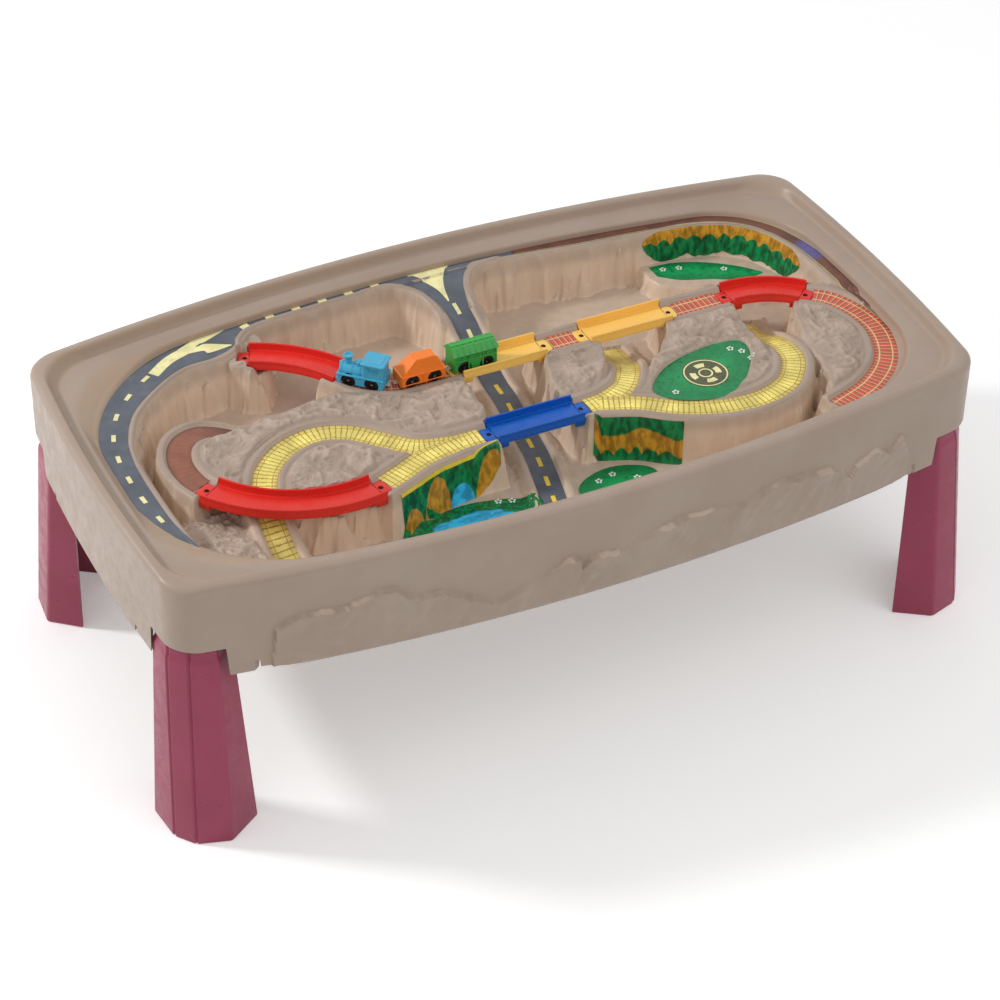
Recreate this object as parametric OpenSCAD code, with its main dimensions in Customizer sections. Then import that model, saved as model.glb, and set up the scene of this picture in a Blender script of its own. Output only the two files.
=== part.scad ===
// Moulded train and road table: a deep tray with a modelled canyon landscape on four channel legs,
// six screwed-down bridges and a three-car train. Millimetres, floor at z = 0, +X along the length
// and +Y towards the back. Depths are measured down from the rim.

/* [Table] */
// Length of the tray over its bowed ends
tray_length = 1220; // [1150:1:1400]
// Width of the tray at the middle of its bowed sides
tray_width = 668; // [640:1:760]
// Height of the rim above the floor
table_height = 414; // [340:1:560]
// How far each long side bows out
side_bow = 56; // [45:1:65]
// How far each short end bows out
end_bow = 13; // [8:1:18]
// Radius of the tray's outer corners
corner_r = 36; // [28:1:46]

/* [Tray] */
// Depth of the outer wall
wall_depth = 153; // [146:1:175]
// Width of the rim's flat top
rim_w = 13; // [11:0.5:16]
// Depth of the ledge inside the rim
ledge_depth = 14; // [10:0.5:18]
// Width of that ledge
ledge_w = 18; // [14:0.5:22]
// Depth of the road shelf
shelf_depth = 30; // [24:0.5:33]
// Depth of the rail banks' tops
bank_depth = 36; // [34:0.5:38]
// Depth of the rail lanes sunk in the banks
lane_depth = 40; // [39:0.5:43]
// Depth of the canyon floor
floor_depth = 108; // [95:1:115]
// Depth of the tray's underside between the skirts
base_depth = 122; // [118:1:130]
// Room for rim, ledge and shelf at each end
end_room = 62.5; // [58:0.5:70]
// Room for rim, ledge and shelf at each side
side_room = 58.5; // [54:0.5:66]
// Thickness of the skirt that hangs below the underside
skirt_t = 7; // [5:0.5:8]

/* [Lanes] */
// Width of a rail lane
lane_w = 36; // [34:0.5:38]
// Width of the curb on each side of a lane
curb_w = 10; // [7:0.5:13]
// Width of the centre road
road_w = 38; // [32:0.5:44]
// Depth of the recess for the landing pad
pad_recess = 2; // [1:0.5:3]

/* [Bridges] */
// Clear width between a bridge's side walls
deck_in = 40; // [38:0.5:43]
// Thickness of a deck and its tongues
deck_t = 4; // [3:0.25:5]
// Height of the side walls above the deck
side_h = 11; // [7:0.5:14]
// Thickness of the side walls
side_t = 4; // [3:0.25:5]
// Width of the end tongues
tongue_w = 28; // [24:0.5:32]
// How far a side wall's end lies inside the screw hole
wall_start = 5; // [4.5:0.5:8]
// How far a tongue reaches past its screw hole
tongue_out = 10; // [8:0.5:13]
// Length of the lugs under the ends of the side walls
lug_len = 14; // [10:0.5:20]
// How far the lugs hang below the deck
lug_drop = 7; // [4:0.5:12]
// How far the lugs stand back from the walls' faces
lug_inset = 0.4; // [0.2:0.1:0.8]
// Gap around a bridge in its seat
seat_gap = 0.5; // [0.3:0.1:1]

/* [Screws] */
// Diameter of a bridge screw's head
bridge_head_d = 6.4; // [5:0.1:7]
// Diameter of a bridge screw's shank
bridge_shank_d = 3; // [2.5:0.1:3.5]
// Length of a bridge screw under its head
bridge_screw_len = 14; // [10:0.5:18]
// Diameter of a leg screw's head
leg_head_d = 10; // [8:0.5:12]
// Diameter of a leg screw's shank
leg_shank_d = 4.8; // [4:0.1:5.5]
// Length of a leg screw under its head
leg_screw_len = 30; // [22:1:38]
// Radial clearance of a screw in its hole
screw_gap = 0.1; // [0.05:0.01:0.2]

/* [Legs] */
// Depth of the legs' tops
leg_depth = 105; // [98:1:112]
// Wall of a leg
leg_wall = 5; // [4:0.25:7]
// Thickness of the plate that closes a leg's top
leg_plate = 8; // [6:0.5:12]
// Depth of the groove down a leg's outer corner
leg_groove = 2.5; // [1.5:0.25:3.5]
// Half width of that groove
leg_groove_w = 3; // [2:0.25:4]

/* [Train] */
// Length of a car's body
car_len = 68; // [62:0.5:71]
// Width of a car's body
car_w = 32; // [30:0.5:34]
// Distance between a car's axles
wheelbase = 34; // [30:0.5:38]
// Diameter of the wheels
wheel_d = 19; // [17:0.5:21]
// Width of the wheels
wheel_w = 5; // [4:0.25:6]
// Distance over the outer faces of a pair of wheels
wheel_span = 29; // [27:0.25:29.5]
// Diameter of the axles
axle_d = 3; // [2.5:0.1:4]
// Radial clearance of an axle in its bearing
axle_gap = 0.05; // [0.03:0.01:0.09]
// Length of the eye and of the hook that stick out of a car's ends
hitch_reach = 5; // [3.5:0.25:5.5]
// Gap between the coupling strips of two cars
coupling_gap = 2; // [1:0.5:5]
// How far the box car's middle stands past the end of its lane
train_past = 25; // [15:1:40]
// Thickness of the coupling strip
hitch_t = 2; // [1.5:0.25:2.5]
// Gap under the wheels and round them
wheel_gap = 0.3; // [0.2:0.05:0.4]
// Height of a body's lower edge above the lane
body_low = 5; // [4:0.25:7]
// Height of the cab roof above the lane
cab_top = 43; // [38:0.5:48]
// Height of the engine's hood above the lane
hood_top = 31; // [27:0.5:35]
// Diameter of the chimney
chimney_d = 12; // [9:0.5:15]
// Height of the tender's load above the lane
load_top = 40; // [34:0.5:46]
// Height of the box car's eaves above the lane
eaves_top = 34; // [30:0.5:38]
// Height of the box car's roof ridge above its eaves
roof_rise = 7; // [4:0.5:10]
// Wall of a car's body
body_wall = 3; // [2:0.25:4]
// Depth of the window recesses
window_in = 1.2; // [0.8:0.1:2]

/* [Hidden] */
$fn = 48;
above = 40;
sunk = 2;
half_x = tray_length / 2 - end_bow;
half_y = tray_width / 2 - side_bow;
deck_out = deck_in + 2 * side_t;
bank_w = lane_w + 2 * curb_w;
axle_z = wheel_d / 2 + wheel_gap;
base_top = axle_z + axle_d / 2 + 3;
base_low = axle_z - axle_d / 2 - 2;
base_w = wheel_span - 2 * wheel_w - 2 * wheel_gap;
arch_r = wheel_d / 2 + 1.2;
arch_in = wheel_span / 2 - wheel_w - wheel_gap;
hitch_w = 5;
edge_round = 3;
head_t = 2.4;
counterbore = deck_t - 1.2;

// The rim's section as rings of inset, depth and corner radius, from the bottom edge to the shelf.
edge_r = 9;
slope_w = 11;
drop_w = 6;
rim_rings = [
    [0, wall_depth, corner_r],
    [0, edge_r, corner_r],
    [edge_r * 0.3, edge_r * 0.3, corner_r + 2],
    [edge_r, 0, corner_r + 5],
    [rim_w, 0, corner_r + 9],
    [rim_w + slope_w * 0.35, ledge_depth * 0.25, corner_r + 16],
    [rim_w + slope_w * 0.65, ledge_depth * 0.75, corner_r + 24],
    [rim_w + slope_w, ledge_depth, corner_r + 34],
    [rim_w + slope_w + ledge_w, ledge_depth + 2, corner_r + 94],
    [rim_w + slope_w + ledge_w + drop_w * 0.5, ledge_depth + 5, corner_r + 110],
    [rim_w + slope_w + ledge_w + drop_w, shelf_depth, corner_r + 130]
];

// Edge of the valley inside the road shelf
valley = [
    [-505, -205], [-440, -243], [-300, -266], [-100, -277], [100, -277], [300, -266], [440, -250], [508, -206],
    [535, -176], [563, -110], [556, -50], [541, -5], [537, 60], [531, 120], [512, 176], [478, 213], [430, 234],
    [375, 242], [250, 252], [120, 270], [-60, 274], [-180, 269], [-262, 261], [-292, 243], [-304, 222],
    [-335, 206], [-390, 202], [-440, 174], [-490, 134], [-518, 85], [-530, 40], [-532, -40], [-530, -110],
    [-523, -165]
];

// All plan points are drawn to the valley's size and stretch with the tray.
function reach(list, axis) = max([for (p = list) p[axis]]) - min([for (p = list) p[axis]]);
stretch = [(tray_length - 2 * end_room) / reach(valley, 0), (tray_width - 2 * side_room) / reach(valley, 1)];

// Rock masses: depth of the top, then the outline
rocks = [
    [34, [[-448, 62], [-380, 66], [-300, 60], [-215, 70], [-150, 38], [-60, 36], [-52, -30], [-66, -72], [-120, -66],
        [-165, -50], [-215, -5], [-285, 30], [-350, 16], [-405, -40], [-430, -70], [-452, 0]]],
    [33, [[-368, -62], [-330, -36], [-285, -24], [-245, -34], [-208, -72], [-218, -104], [-262, -150], [-330, -152],
        [-366, -112]]],
    [72, [[-512, -80], [-490, -160], [-440, -212], [-414, -190], [-420, -120], [-440, -60]]],
    [34, [[88, 42], [156, 42], [166, 10], [148, -34], [118, -64], [72, -72], [66, -30]]],
    [35, [[290, 46], [392, 46], [390, 0], [384, -60], [372, -112], [330, -148], [270, -160], [200, -134], [160, -100],
        [190, -62], [236, -20], [268, 16]]],
    [34, [[478, 10], [512, -8], [532, -60], [526, -130], [490, -190], [440, -228], [404, -222], [428, -150], [436, -90],
        [450, -40]]],
    [bank_depth, [[-322, 232], [-268, 250], [-282, 186], [-318, 184]]],
    [80, [[345, 262], [343, 192], [375, 164], [430, 144], [485, 114], [528, 100], [552, 122], [542, 196], [480, 244],
        [400, 262]]]
];

// Landing pad inside the right-hand loop
pad = [[176, -108], [205, -70], [250, -48], [310, -38], [352, -48], [346, -88], [308, -136], [262, -158], [206, -142]];

// Rail lanes: plan points, each with its share of the way down to the canyon floor
rails = [
    [[-200, 126, 0], [-190, 106, 0], [-178, 87.5, 0], [-160, 72.5, 0], [-139, 63, 0], [-116, 60, 0], [-46, 60, 0]],
    [[87, 60, 0], [120, 60, 0], [157, 60, 0]],
    [[287, 60, 0], [340, 60, 0], [389, 60, 0]],
    [[489, 21, 0], [522, -10, 0], [541, -62, 0], [540, -116, 0], [514, -172, 0], [464, -214, 0], [396, -240, 0]],
    [[-66, -96, 0], [-120, -95, 0], [-172, -80, 0], [-206, -48, 0], [-242, -14, 0], [-288, 0, 0], [-336, -14, 0],
        [-374, -48, 0], [-394, -90, 0.09], [-399, -132, 0.39], [-396, -176, 0.81], [-388, -220, 1]],
    [[-108, -96, 0], [-170, -108, 0], [-215, -127, 0], [-255, -143, 0]],
    [[-458, -57, 0], [-470, -22, 0], [-471, 20, 0], [-454, 58, 0.01], [-422, 76, 0.08], [-384, 84, 0.33], [-342, 92, 0.72],
        [-300, 102, 1]],
    [[68, -96, 0], [110, -92, 0], [146, -76, 0.01], [172, -44, 0.09], [192, -4, 0.33], [208, 46, 0.75], [218, 96, 1]],
    [[98, -97, 0], [150, -120, 0], [192, -150, 0], [242, -172, 0], [300, -180, 0], [356, -164, 0], [392, -124, 0],
        [404, -82, 0.08], [407, -36, 0.3], [413, 14, 0.69], [424, 72, 1]]
];

// Centre road from the back shelf down to the canyon floor, with its share of the way down
road = [[18, 268, 0], [20, 228, 0.04], [22, 184, 0.22], [24, 140, 0.56], [25, 104, 0.84], [25, 72, 0.97], [22, 36, 1]];

// Bridges: first screw hole, last screw hole, and the bulge of the middle to the left of that way
ramp_ends = [[-301, 208], [-190, 106], 14];
curve_ends = [[-461, -52], [-250, -142], -37];
orange_left_ends = [[-48, 60], [92, 60], 0];
orange_right_ends = [[152, 60], [292, 60], 0];
blue_ends = [[-69, -96], [71, -96], 0];
red_right_ends = [[384, 60], [494, 16], 14];
bridges = [ramp_ends, curve_ends, orange_left_ends, orange_right_ends, blue_ends, red_right_ends];

// One corner leg: plan points at the floor and at the top, from the inner edge round the outside. These and
// the next points are measured from the corner of the box round the tray.
leg_floor = [[32, 153], [-9, 119], [-3, 61], [18, 33], [64, 19], [112.6, 51.6]];
leg_head = [[35, 154], [12, 135], [12, 88], [33, 63], [69, 51], [97, 76]];
leg_screws_at = [[30, 112], [61, 82]];
ear_at = [80, 140];
ear_w = 33;
notch_w = 8;
notch_h = 9;
pocket_edge = [[107, -66], [107, 78], [43, 162], [-90, 162], [-90, -66]];
corners = [[0, 0], [1, 0], [0, 1], [1, 1]];

// Helpers: places, curves and rings

function z_of(depth) = table_height - depth;
function plan(p) = [p.x * stretch.x, p.y * stretch.y];
function unit(v) = v / norm(v);
function left_of(v) = [-v.y, v.x];

// Point at t on the Catmull-Rom curve between b and c
function blend(a, b, c, d, t) =
    0.5 * (2 * b + (c - a) * t + (2 * a - 5 * b + 4 * c - d) * t * t + (3 * b - a - 3 * c + d) * t * t * t);

function closed_curve(p, steps) = let (n = len(p)) [
    for (i = [0 : n - 1], k = [0 : steps - 1])
        blend(p[(i + n - 1) % n], p[i], p[(i + 1) % n], p[(i + 2) % n], k / steps)
];

// An open curve through p, and the same curve sampled halfway between and carried on past its ends
function open_curve(p, steps, shift = 0) = let (n = len(p)) [
    for (i = [0 : n - 2], k = [0 : (i == n - 2 && shift == 0 ? steps : steps - 1)])
        blend(i > 0 ? p[i - 1] : 2 * p[0] - p[1], p[i], p[i + 1], i < n - 2 ? p[i + 2] : 2 * p[n - 1] - p[n - 2],
            (k + shift) / steps)
];
function carried_on(p, steps, by) = let (n = len(p)) concat(
    [p[0] + unit(p[0] - p[1]) * by],
    open_curve(p, steps, 0.5),
    [p[n - 1] + unit(p[n - 1] - p[n - 2]) * by]
);

// A rounded rectangle whose sides are then bowed outwards
corner_steps = 6;
side_steps = 12;
end_steps = 6;
function between(a, b, steps) = [for (k = [1 : steps - 1]) a + (b - a) * k / steps];
function corner(at, r, from) = [for (k = [0 : corner_steps]) at + r * [cos(from + 90 * k / corner_steps),
    sin(from + 90 * k / corner_steps)]];
function box_ring(x, y, r) = concat(
    corner([x - r, y - r], r, 0), between([x - r, y], [r - x, y], side_steps),
    corner([r - x, y - r], r, 90), between([-x, y - r], [-x, r - y], end_steps),
    corner([r - x, r - y], r, 180), between([r - x, -y], [x - r, -y], side_steps),
    corner([x - r, r - y], r, 270), between([x, r - y], [x, y - r], end_steps)
);
function bow(p, x, y) = [
    p.x * (1 + end_bow / x * (1 - pow(p.y / y, 2))),
    p.y * (1 + side_bow / y * (1 - pow(p.x / x, 2)))
];
function outline(inset, r) = let (x = half_x - inset, y = half_y - inset) [for (p = box_ring(x, y, r)) bow(p, x, y)];
function ring_at(inset, depth, r) = [for (p = outline(inset, r)) [p.x, p.y, z_of(depth)]];

// A solid through closed rings of equal length, capped at both ends
module loft(rings) {
    n = len(rings[0]);
    m = len(rings);
    polyhedron(
        points = [for (r = rings) each r],
        faces = concat(
            [[for (i = [0 : n - 1]) i]],
            [[for (i = [0 : n - 1]) m * n - 1 - i]],
            [for (j = [0 : m - 2], i = [0 : n - 1]) [j * n + i, (j + 1) * n + (i + 1) % n, j * n + (i + 1) % n]],
            [for (j = [0 : m - 2], i = [0 : n - 1]) [j * n + i, (j + 1) * n + i, (j + 1) * n + (i + 1) % n]]
        ),
        convexity = 10
    );
}

// Side direction at point i of a path
function across(path, i) = let (n = len(path), a = path[max(i - 1, 0)], b = path[min(i + 1, n - 1)])
    unit(left_of([b.x - a.x, b.y - a.y]));

// A block of width w along a path of plan points, from low to high at each point
module strip(path, w, low, high) {
    rings = [
        for (i = [0 : len(path) - 1]) let (p = [path[i].x, path[i].y], s = across(path, i) * w / 2) [
            [p.x + s.x, p.y + s.y, low[i]], [p.x + s.x, p.y + s.y, high[i]],
            [p.x - s.x, p.y - s.y, high[i]], [p.x - s.x, p.y - s.y, low[i]]
        ]
    ];
    loft(rings);
}

// A prism over an outline between two depths
module slab(points, depth_low, depth_high) {
    translate([0, 0, z_of(depth_low)])
        linear_extrude(depth_low - depth_high)
            polygon(points);
}

module cut_below(points, depth) {
    slab(points, wall_depth + above, depth);
}

// Tray

rail_steps = 3;
function stretched(path) = [for (p = path) [p.x * stretch.x, p.y * stretch.y, p.z]];
function rail_path(rail) = open_curve(stretched(rail), rail_steps);
function lane_path(rail) = carried_on(stretched(rail), rail_steps, sunk);
road_path = open_curve(stretched(road), rail_steps);
road_lane_path = carried_on(stretched(road), rail_steps, sunk);
function level(path, z) = [for (p = path) z];
// How far a rail has come down at a point, and the depth of the road's curbs there
rail_fall = floor_depth - lane_depth - 1;
road_fall = floor_depth - shelf_depth - 6;
function fall(p) = rail_fall * min(max(p.z, 0), 1);
function road_depth(p) = shelf_depth + 1 + road_fall * min(max(p.z, 0), 1);

module tub() {
    loft([for (r = rim_rings) ring_at(r[0], r[1], r[2])]);
}

module valley_cut() {
    slab(closed_curve([for (p = valley) plan(p)], 3), floor_depth, -above);
}

module rail_bank(rail) {
    path = rail_path(rail);
    strip(path, bank_w, level(path, z_of(floor_depth + sunk)), [for (p = path) z_of(bank_depth + fall(p))]);
}

module rail_lane(rail) {
    path = lane_path(rail);
    strip(path, lane_w, [for (p = path) z_of(lane_depth + fall(p))], level(path, z_of(-above)));
}

module road_bank() {
    strip(road_path, road_w + 2 * curb_w, level(road_path, z_of(floor_depth + sunk)),
        [for (p = road_path) z_of(road_depth(p))]);
}

module road_lane() {
    strip(road_lane_path, road_w, [for (p = road_lane_path) z_of(road_depth(p) + lane_depth - bank_depth)],
        level(road_lane_path, z_of(-above)));
}

module rock(r) {
    slab(closed_curve([for (p = r[1]) plan(p)], 3), floor_depth + sunk, r[0]);
}

module pad_cut() {
    slab(closed_curve([for (p = pad) plan(p)], 3), bank_depth + pad_recess, -above);
}

// Mirrors what is drawn for the front left corner to another corner
module to_corner(c) {
    mirror([c.x, 0, 0])
        mirror([0, c.y, 0])
            children();
}

module at_corners() {
    for (c = corners)
        to_corner(c)
            children();
}

// Place of a point that is measured from the front left corner
function corner_plan(p) = [p.x - tray_length / 2, p.y - tray_width / 2];

// Room for a leg's top, and the wall cut away round it
module leg_pocket() {
    ear = corner_plan(ear_at);
    deep = wall_depth - leg_depth + above;
    intersection() {
        cut_below([for (p = pocket_edge) corner_plan(p)], leg_depth);
        cut_below(outline(skirt_t, corner_r), leg_depth);
    }
    translate([ear.x - tray_length, ear.y - tray_width, z_of(wall_depth + above)])
        cube([tray_length, tray_width, deep]);
}

// Small square notches beside the ears
module ear_notches() {
    ear = corner_plan(ear_at);
    low = z_of(wall_depth + above);
    translate([ear.x + ear_w, ear.y - tray_width, low])
        cube([notch_w, tray_width - skirt_t, above + notch_h]);
    translate([ear.x - tray_length, ear.y + ear_w, low])
        cube([tray_length - skirt_t, notch_w, above + notch_h]);
}

module leg_pilots() {
    for (p = leg_screws_at)
        translate([corner_plan(p).x, corner_plan(p).y, z_of(leg_depth)])
            cylinder(d = leg_shank_d + 2 * screw_gap, h = leg_screw_len - leg_plate + sunk);
}

module bridge_pilots() {
    for (b = bridges, e = [0, 1])
        translate([plan(b[e]).x, plan(b[e]).y, z_of(lane_depth + bridge_screw_len + deck_t)])
            cylinder(d = bridge_shank_d + 2 * screw_gap, h = bridge_screw_len + deck_t);
}

module tray() {
    color([0.65, 0.59, 0.54])
        difference() {
            union() {
                difference() {
                    tub();
                    valley_cut();
                }
                for (r = rocks)
                    rock(r);
                for (r = rails)
                    rail_bank(r);
                road_bank();
            }
            for (r = rails)
                rail_lane(r);
            road_lane();
            pad_cut();
            for (b = bridges)
                bridge_seat(b);
            bridge_pilots();
            cut_below(outline(skirt_t, corner_r), base_depth);
            at_corners() {
                leg_pocket();
                ear_notches();
                leg_pilots();
            }
        }
}

// Bridges

function chord(b) = plan(b[1]) - plan(b[0]);
function bend_r(b) = (pow(norm(chord(b)) / 2, 2) + b[2] * b[2]) / (2 * abs(b[2]));
function bend_angle(b) = 2 * asin(norm(chord(b)) / 2 / bend_r(b));
function heading(b) = atan2(chord(b).y, chord(b).x);
function run_length(b) = b[2] == 0 ? norm(chord(b)) : bend_r(b) * bend_angle(b) * PI / 180;

// Carries a section, drawn as across and up, along a bridge from run s0 to run s1
module along(b, s0, s1) {
    start = plan(b[0]);
    if (b[2] == 0)
        translate([start.x, start.y, 0])
            rotate([0, 0, heading(b)])
                translate([s0, 0, 0])
                    rotate([90, 0, 90])
                        linear_extrude(s1 - s0)
                            children();
    else {
        r = bend_r(b);
        side = sign(b[2]);
        mid = (plan(b[0]) + plan(b[1])) / 2;
        centre = mid - side * left_of(unit(chord(b))) * (r - abs(b[2]));
        per_mm = 180 / PI / r;
        first = atan2(start.y - centre.y, start.x - centre.x);
        turn = (s1 - s0) * per_mm;
        translate([centre.x, centre.y, 0])
            rotate([0, 0, side > 0 ? first - s1 * per_mm : first + s0 * per_mm])
                rotate_extrude(angle = turn, $fn = 160)
                    translate([r, 0])
                        children();
    }
}

module band(w, low, high) {
    translate([-w / 2, low])
        square([w, high - low]);
}

// Section of the deck with its side walls
module channel() {
    low = z_of(lane_depth + deck_t);
    top = z_of(lane_depth) + side_h;
    band(deck_out, low, z_of(lane_depth));
    for (s = [-1, 1])
        translate([s * (deck_out - side_t) / 2, 0]) {
            band(side_t, low, top - side_t / 2);
            translate([0, top - side_t / 2])
                circle(d = side_t);
        }
}

module lugs() {
    low = z_of(lane_depth + deck_t);
    for (s = [-1, 1])
        translate([s * (deck_out - side_t) / 2, 0])
            band(side_t - 2 * lug_inset, low - lug_drop, low + deck_t / 2);
}

// Point of a bridge's middle line at run s
function point_on(b, s) = b[2] == 0 ? plan(b[0]) + unit(chord(b)) * s : let (
    r = bend_r(b),
    side = sign(b[2]),
    centre = (plan(b[0]) + plan(b[1])) / 2 - side * left_of(unit(chord(b))) * (r - abs(b[2])),
    first = atan2(plan(b[0]).y - centre.y, plan(b[0]).x - centre.x),
    at = first - side * s * 180 / PI / r
) centre + r * [cos(at), sin(at)];

// Both end tongues, grown by gap all round: flat strips whose tips are rounded about a point inside
tip_in = 8;
tip_r = tongue_out + 2 * tip_in - 6;
module tongues(b, gap, low, high) {
    run = run_length(b);
    for (e = [0, 1])
        intersection() {
            along(b, e == 0 ? -tongue_out - gap : run - wall_start - 1, e == 0 ? wall_start + 1 : run + tongue_out + gap)
                band(tongue_w + 2 * gap, low, high);
            translate([point_on(b, e == 0 ? tip_in : run - tip_in).x, point_on(b, e == 0 ? tip_in : run - tip_in).y, low - 1])
                cylinder(r = tip_r + gap, h = high - low + 2);
        }
}

module bridge(b) {
    low = z_of(lane_depth + deck_t);
    run = run_length(b);
    difference() {
        union() {
            along(b, wall_start, run - wall_start)
                channel();
            along(b, wall_start + lug_inset, wall_start + lug_len)
                lugs();
            along(b, run - wall_start - lug_len, run - wall_start - lug_inset)
                lugs();
            tongues(b, 0, low, z_of(lane_depth));
        }
        for (e = [0, 1])
            translate([plan(b[e]).x, plan(b[e]).y, low]) {
                translate([0, 0, -sunk])
                    cylinder(d = bridge_shank_d + 2 * screw_gap, h = deck_t + 2 * sunk);
                translate([0, 0, deck_t - counterbore])
                    cylinder(d = bridge_head_d + 6 * screw_gap, h = counterbore + sunk);
            }
    }
}

// Room for a bridge in the tray: its tongues, and its walls and lugs, with the seat gap round them
module bridge_seat(b) {
    tongues(b, seat_gap, z_of(lane_depth + deck_t), z_of(-above));
    along(b, wall_start - seat_gap, run_length(b) - wall_start + seat_gap)
        band(deck_out + 2 * seat_gap, z_of(lane_depth + deck_t + lug_drop + seat_gap), z_of(-above));
}

module bridge_ramp() {
    color([0.85, 0.22, 0.18])
        bridge(ramp_ends);
}

module bridge_curve() {
    color([0.85, 0.22, 0.18])
        bridge(curve_ends);
}

module bridge_orange_left() {
    color([0.98, 0.76, 0.38])
        bridge(orange_left_ends);
}

module bridge_orange_right() {
    color([0.98, 0.76, 0.38])
        bridge(orange_right_ends);
}

module bridge_blue() {
    color([0.1, 0.3, 0.66])
        bridge(blue_ends);
}

module bridge_red_right() {
    color([0.85, 0.22, 0.18])
        bridge(red_right_ends);
}

module screw(head_d, shank_d, length) {
    cylinder(d = head_d, h = head_t);
    translate([0, 0, -length])
        cylinder(d = shank_d, h = length + head_t / 2);
}

module bridge_screws() {
    color([0.2, 0.2, 0.2])
        for (b = bridges, e = [0, 1])
            translate([plan(b[e]).x, plan(b[e]).y, z_of(lane_depth) - counterbore])
                screw(bridge_head_d, bridge_shank_d, bridge_screw_len);
}

// Legs

// The leg's points with a groove let into its outer corner
function grooved(p) = let (a = unit(p[2] - p[3]), b = unit(p[4] - p[3]), inward = unit(a + b)) concat(
    [p[0], p[1], p[2], p[3] + a * leg_groove_w, p[3] + inward * leg_groove, p[3] + b * leg_groove_w],
    [p[4], p[5]]
);
// The same line moved inwards by t at every point
function inner(p, t) = [
    for (i = [0 : len(p) - 1]) let (a = i > 0 ? unit(p[i] - p[i - 1]) : unit(p[1] - p[0]),
        b = i < len(p) - 1 ? unit(p[i + 1] - p[i]) : a, side = unit(left_of(a) + left_of(b)))
        p[i] + side * t / max(side * left_of(a), 0.5)
];
function leg_line(points, t) = inner([for (p = grooved(points)) corner_plan(p)], t);
// The leg's line at height z, moved inwards by t
leg_top = z_of(leg_depth);
function leg_line_at(z, t) = leg_line(leg_floor, t) * (1 - z / leg_top) + leg_line(leg_head, t) * z / leg_top;
// The leg's whole section, and the hollow in it that opens towards the middle of the table
hollow_out = [[180, 94], [90, 204]];
function leg_section(z) = [for (p = leg_line_at(z, 0)) [p.x, p.y, z]];
// A line carried on past both its ends
function run_on(p, by) = let (n = len(p)) concat(
    [p[0] + unit(p[0] - p[1]) * by],
    [for (i = [1 : n - 2]) p[i]],
    [p[n - 1] + unit(p[n - 1] - p[n - 2]) * by]
);
function leg_hollow(z) = [
    for (p = concat(run_on(leg_line_at(z, leg_wall), 4 * leg_wall), [for (q = hollow_out) corner_plan(q)]))
        [p.x, p.y, z]
];

// The hollow, which stops under the top plate
module leg_bore() {
    difference() {
        loft([leg_hollow(-sunk), leg_hollow(leg_top + sunk)]);
        translate([-tray_length, -tray_width, leg_top - leg_plate])
            cube([2 * tray_length, 2 * tray_width, 2 * leg_plate]);
    }
}

module leg() {
    difference() {
        loft([leg_section(0), leg_section(leg_top)]);
        leg_bore();
        for (p = leg_screws_at)
            translate([corner_plan(p).x, corner_plan(p).y, leg_top - leg_plate - sunk])
                cylinder(d = leg_shank_d + 2 * screw_gap, h = leg_plate + 2 * sunk);
    }
}

module leg_at(c) {
    color([0.6, 0.27, 0.37])
        to_corner(c)
            leg();
}

module leg_front_left() {
    leg_at(corners[0]);
}

module leg_front_right() {
    leg_at(corners[1]);
}

module leg_back_left() {
    leg_at(corners[2]);
}

module leg_back_right() {
    leg_at(corners[3]);
}

module leg_screws() {
    color([0.6, 0.6, 0.6])
        at_corners()
            for (p = leg_screws_at)
                translate([corner_plan(p).x, corner_plan(p).y, z_of(leg_depth) - leg_plate])
                    rotate([180, 0, 0])
                        screw(leg_head_d, leg_shank_d, leg_screw_len);
}

// Train

// The line that the train stands on: its lane, and on over the bridge after it
train_steps = 24;
train_line = open_curve([for (p = concat(rails[0], [orange_left_ends[1]])) plan(p)], train_steps);
function way_to(line, n) = n == 0 ? 0 : way_to(line, n - 1) + norm(line[n] - line[n - 1]);
// Place and heading of a car at a way along a line
function at_way(line, way, i = 0) = let (step = line[i + 1] - line[i], d = norm(step), p = line[i] + step * way / d)
    way <= d || i == len(line) - 2 ? [p.x, p.y, atan2(-step.y, -step.x)] : at_way(line, way - d, i + 1);
car_step = car_len + 2 * hitch_reach + coupling_gap;
boxcar_way = way_to(train_line, train_steps * (len(rails[0]) - 1)) + train_past;
boxcar_place = at_way(train_line, boxcar_way);
tender_place = at_way(train_line, boxcar_way - car_step);
engine_place = at_way(train_line, boxcar_way - 2 * car_step);

module place(at) {
    translate([at.x, at.y, z_of(lane_depth)])
        rotate([0, 0, at[2]])
            children();
}

// A box with rounded upright edges, standing on low
module block(len_x, len_y, low, high, r) {
    translate([0, 0, low])
        linear_extrude(high - low)
            for (turn = [0, 1])
                square([len_x - 2 * r * turn, len_y - 2 * r * (1 - turn)], center = true);
    for (x = [-1, 1], y = [-1, 1])
        translate([x * (len_x / 2 - r), y * (len_y / 2 - r), low])
            cylinder(r = r, h = high - low);
}

// Room for the base, the wheels and their arches in a body
module underbody_cut() {
    translate([-car_len / 2 + body_wall, -base_w / 2 - wheel_gap, -1])
        cube([car_len - 2 * body_wall, base_w + 2 * wheel_gap, base_top + 1]);
    for (x = [-1, 1], y = [-1, 1])
        translate([x * wheelbase / 2, y > 0 ? arch_in : -car_w, axle_z])
            rotate([-90, 0, 0])
                cylinder(r = arch_r, h = car_w - arch_in);
    for (x = [-1, 1])
        translate([x * wheelbase / 2, 0, axle_z / 2])
            cube([axle_d + 2, wheel_span, axle_z + axle_d + 2], center = true);
    translate([-car_len, -hitch_w / 2 - wheel_gap, -1])
        cube([2 * car_len, hitch_w + 2 * wheel_gap, base_low + 1]);
}

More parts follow.
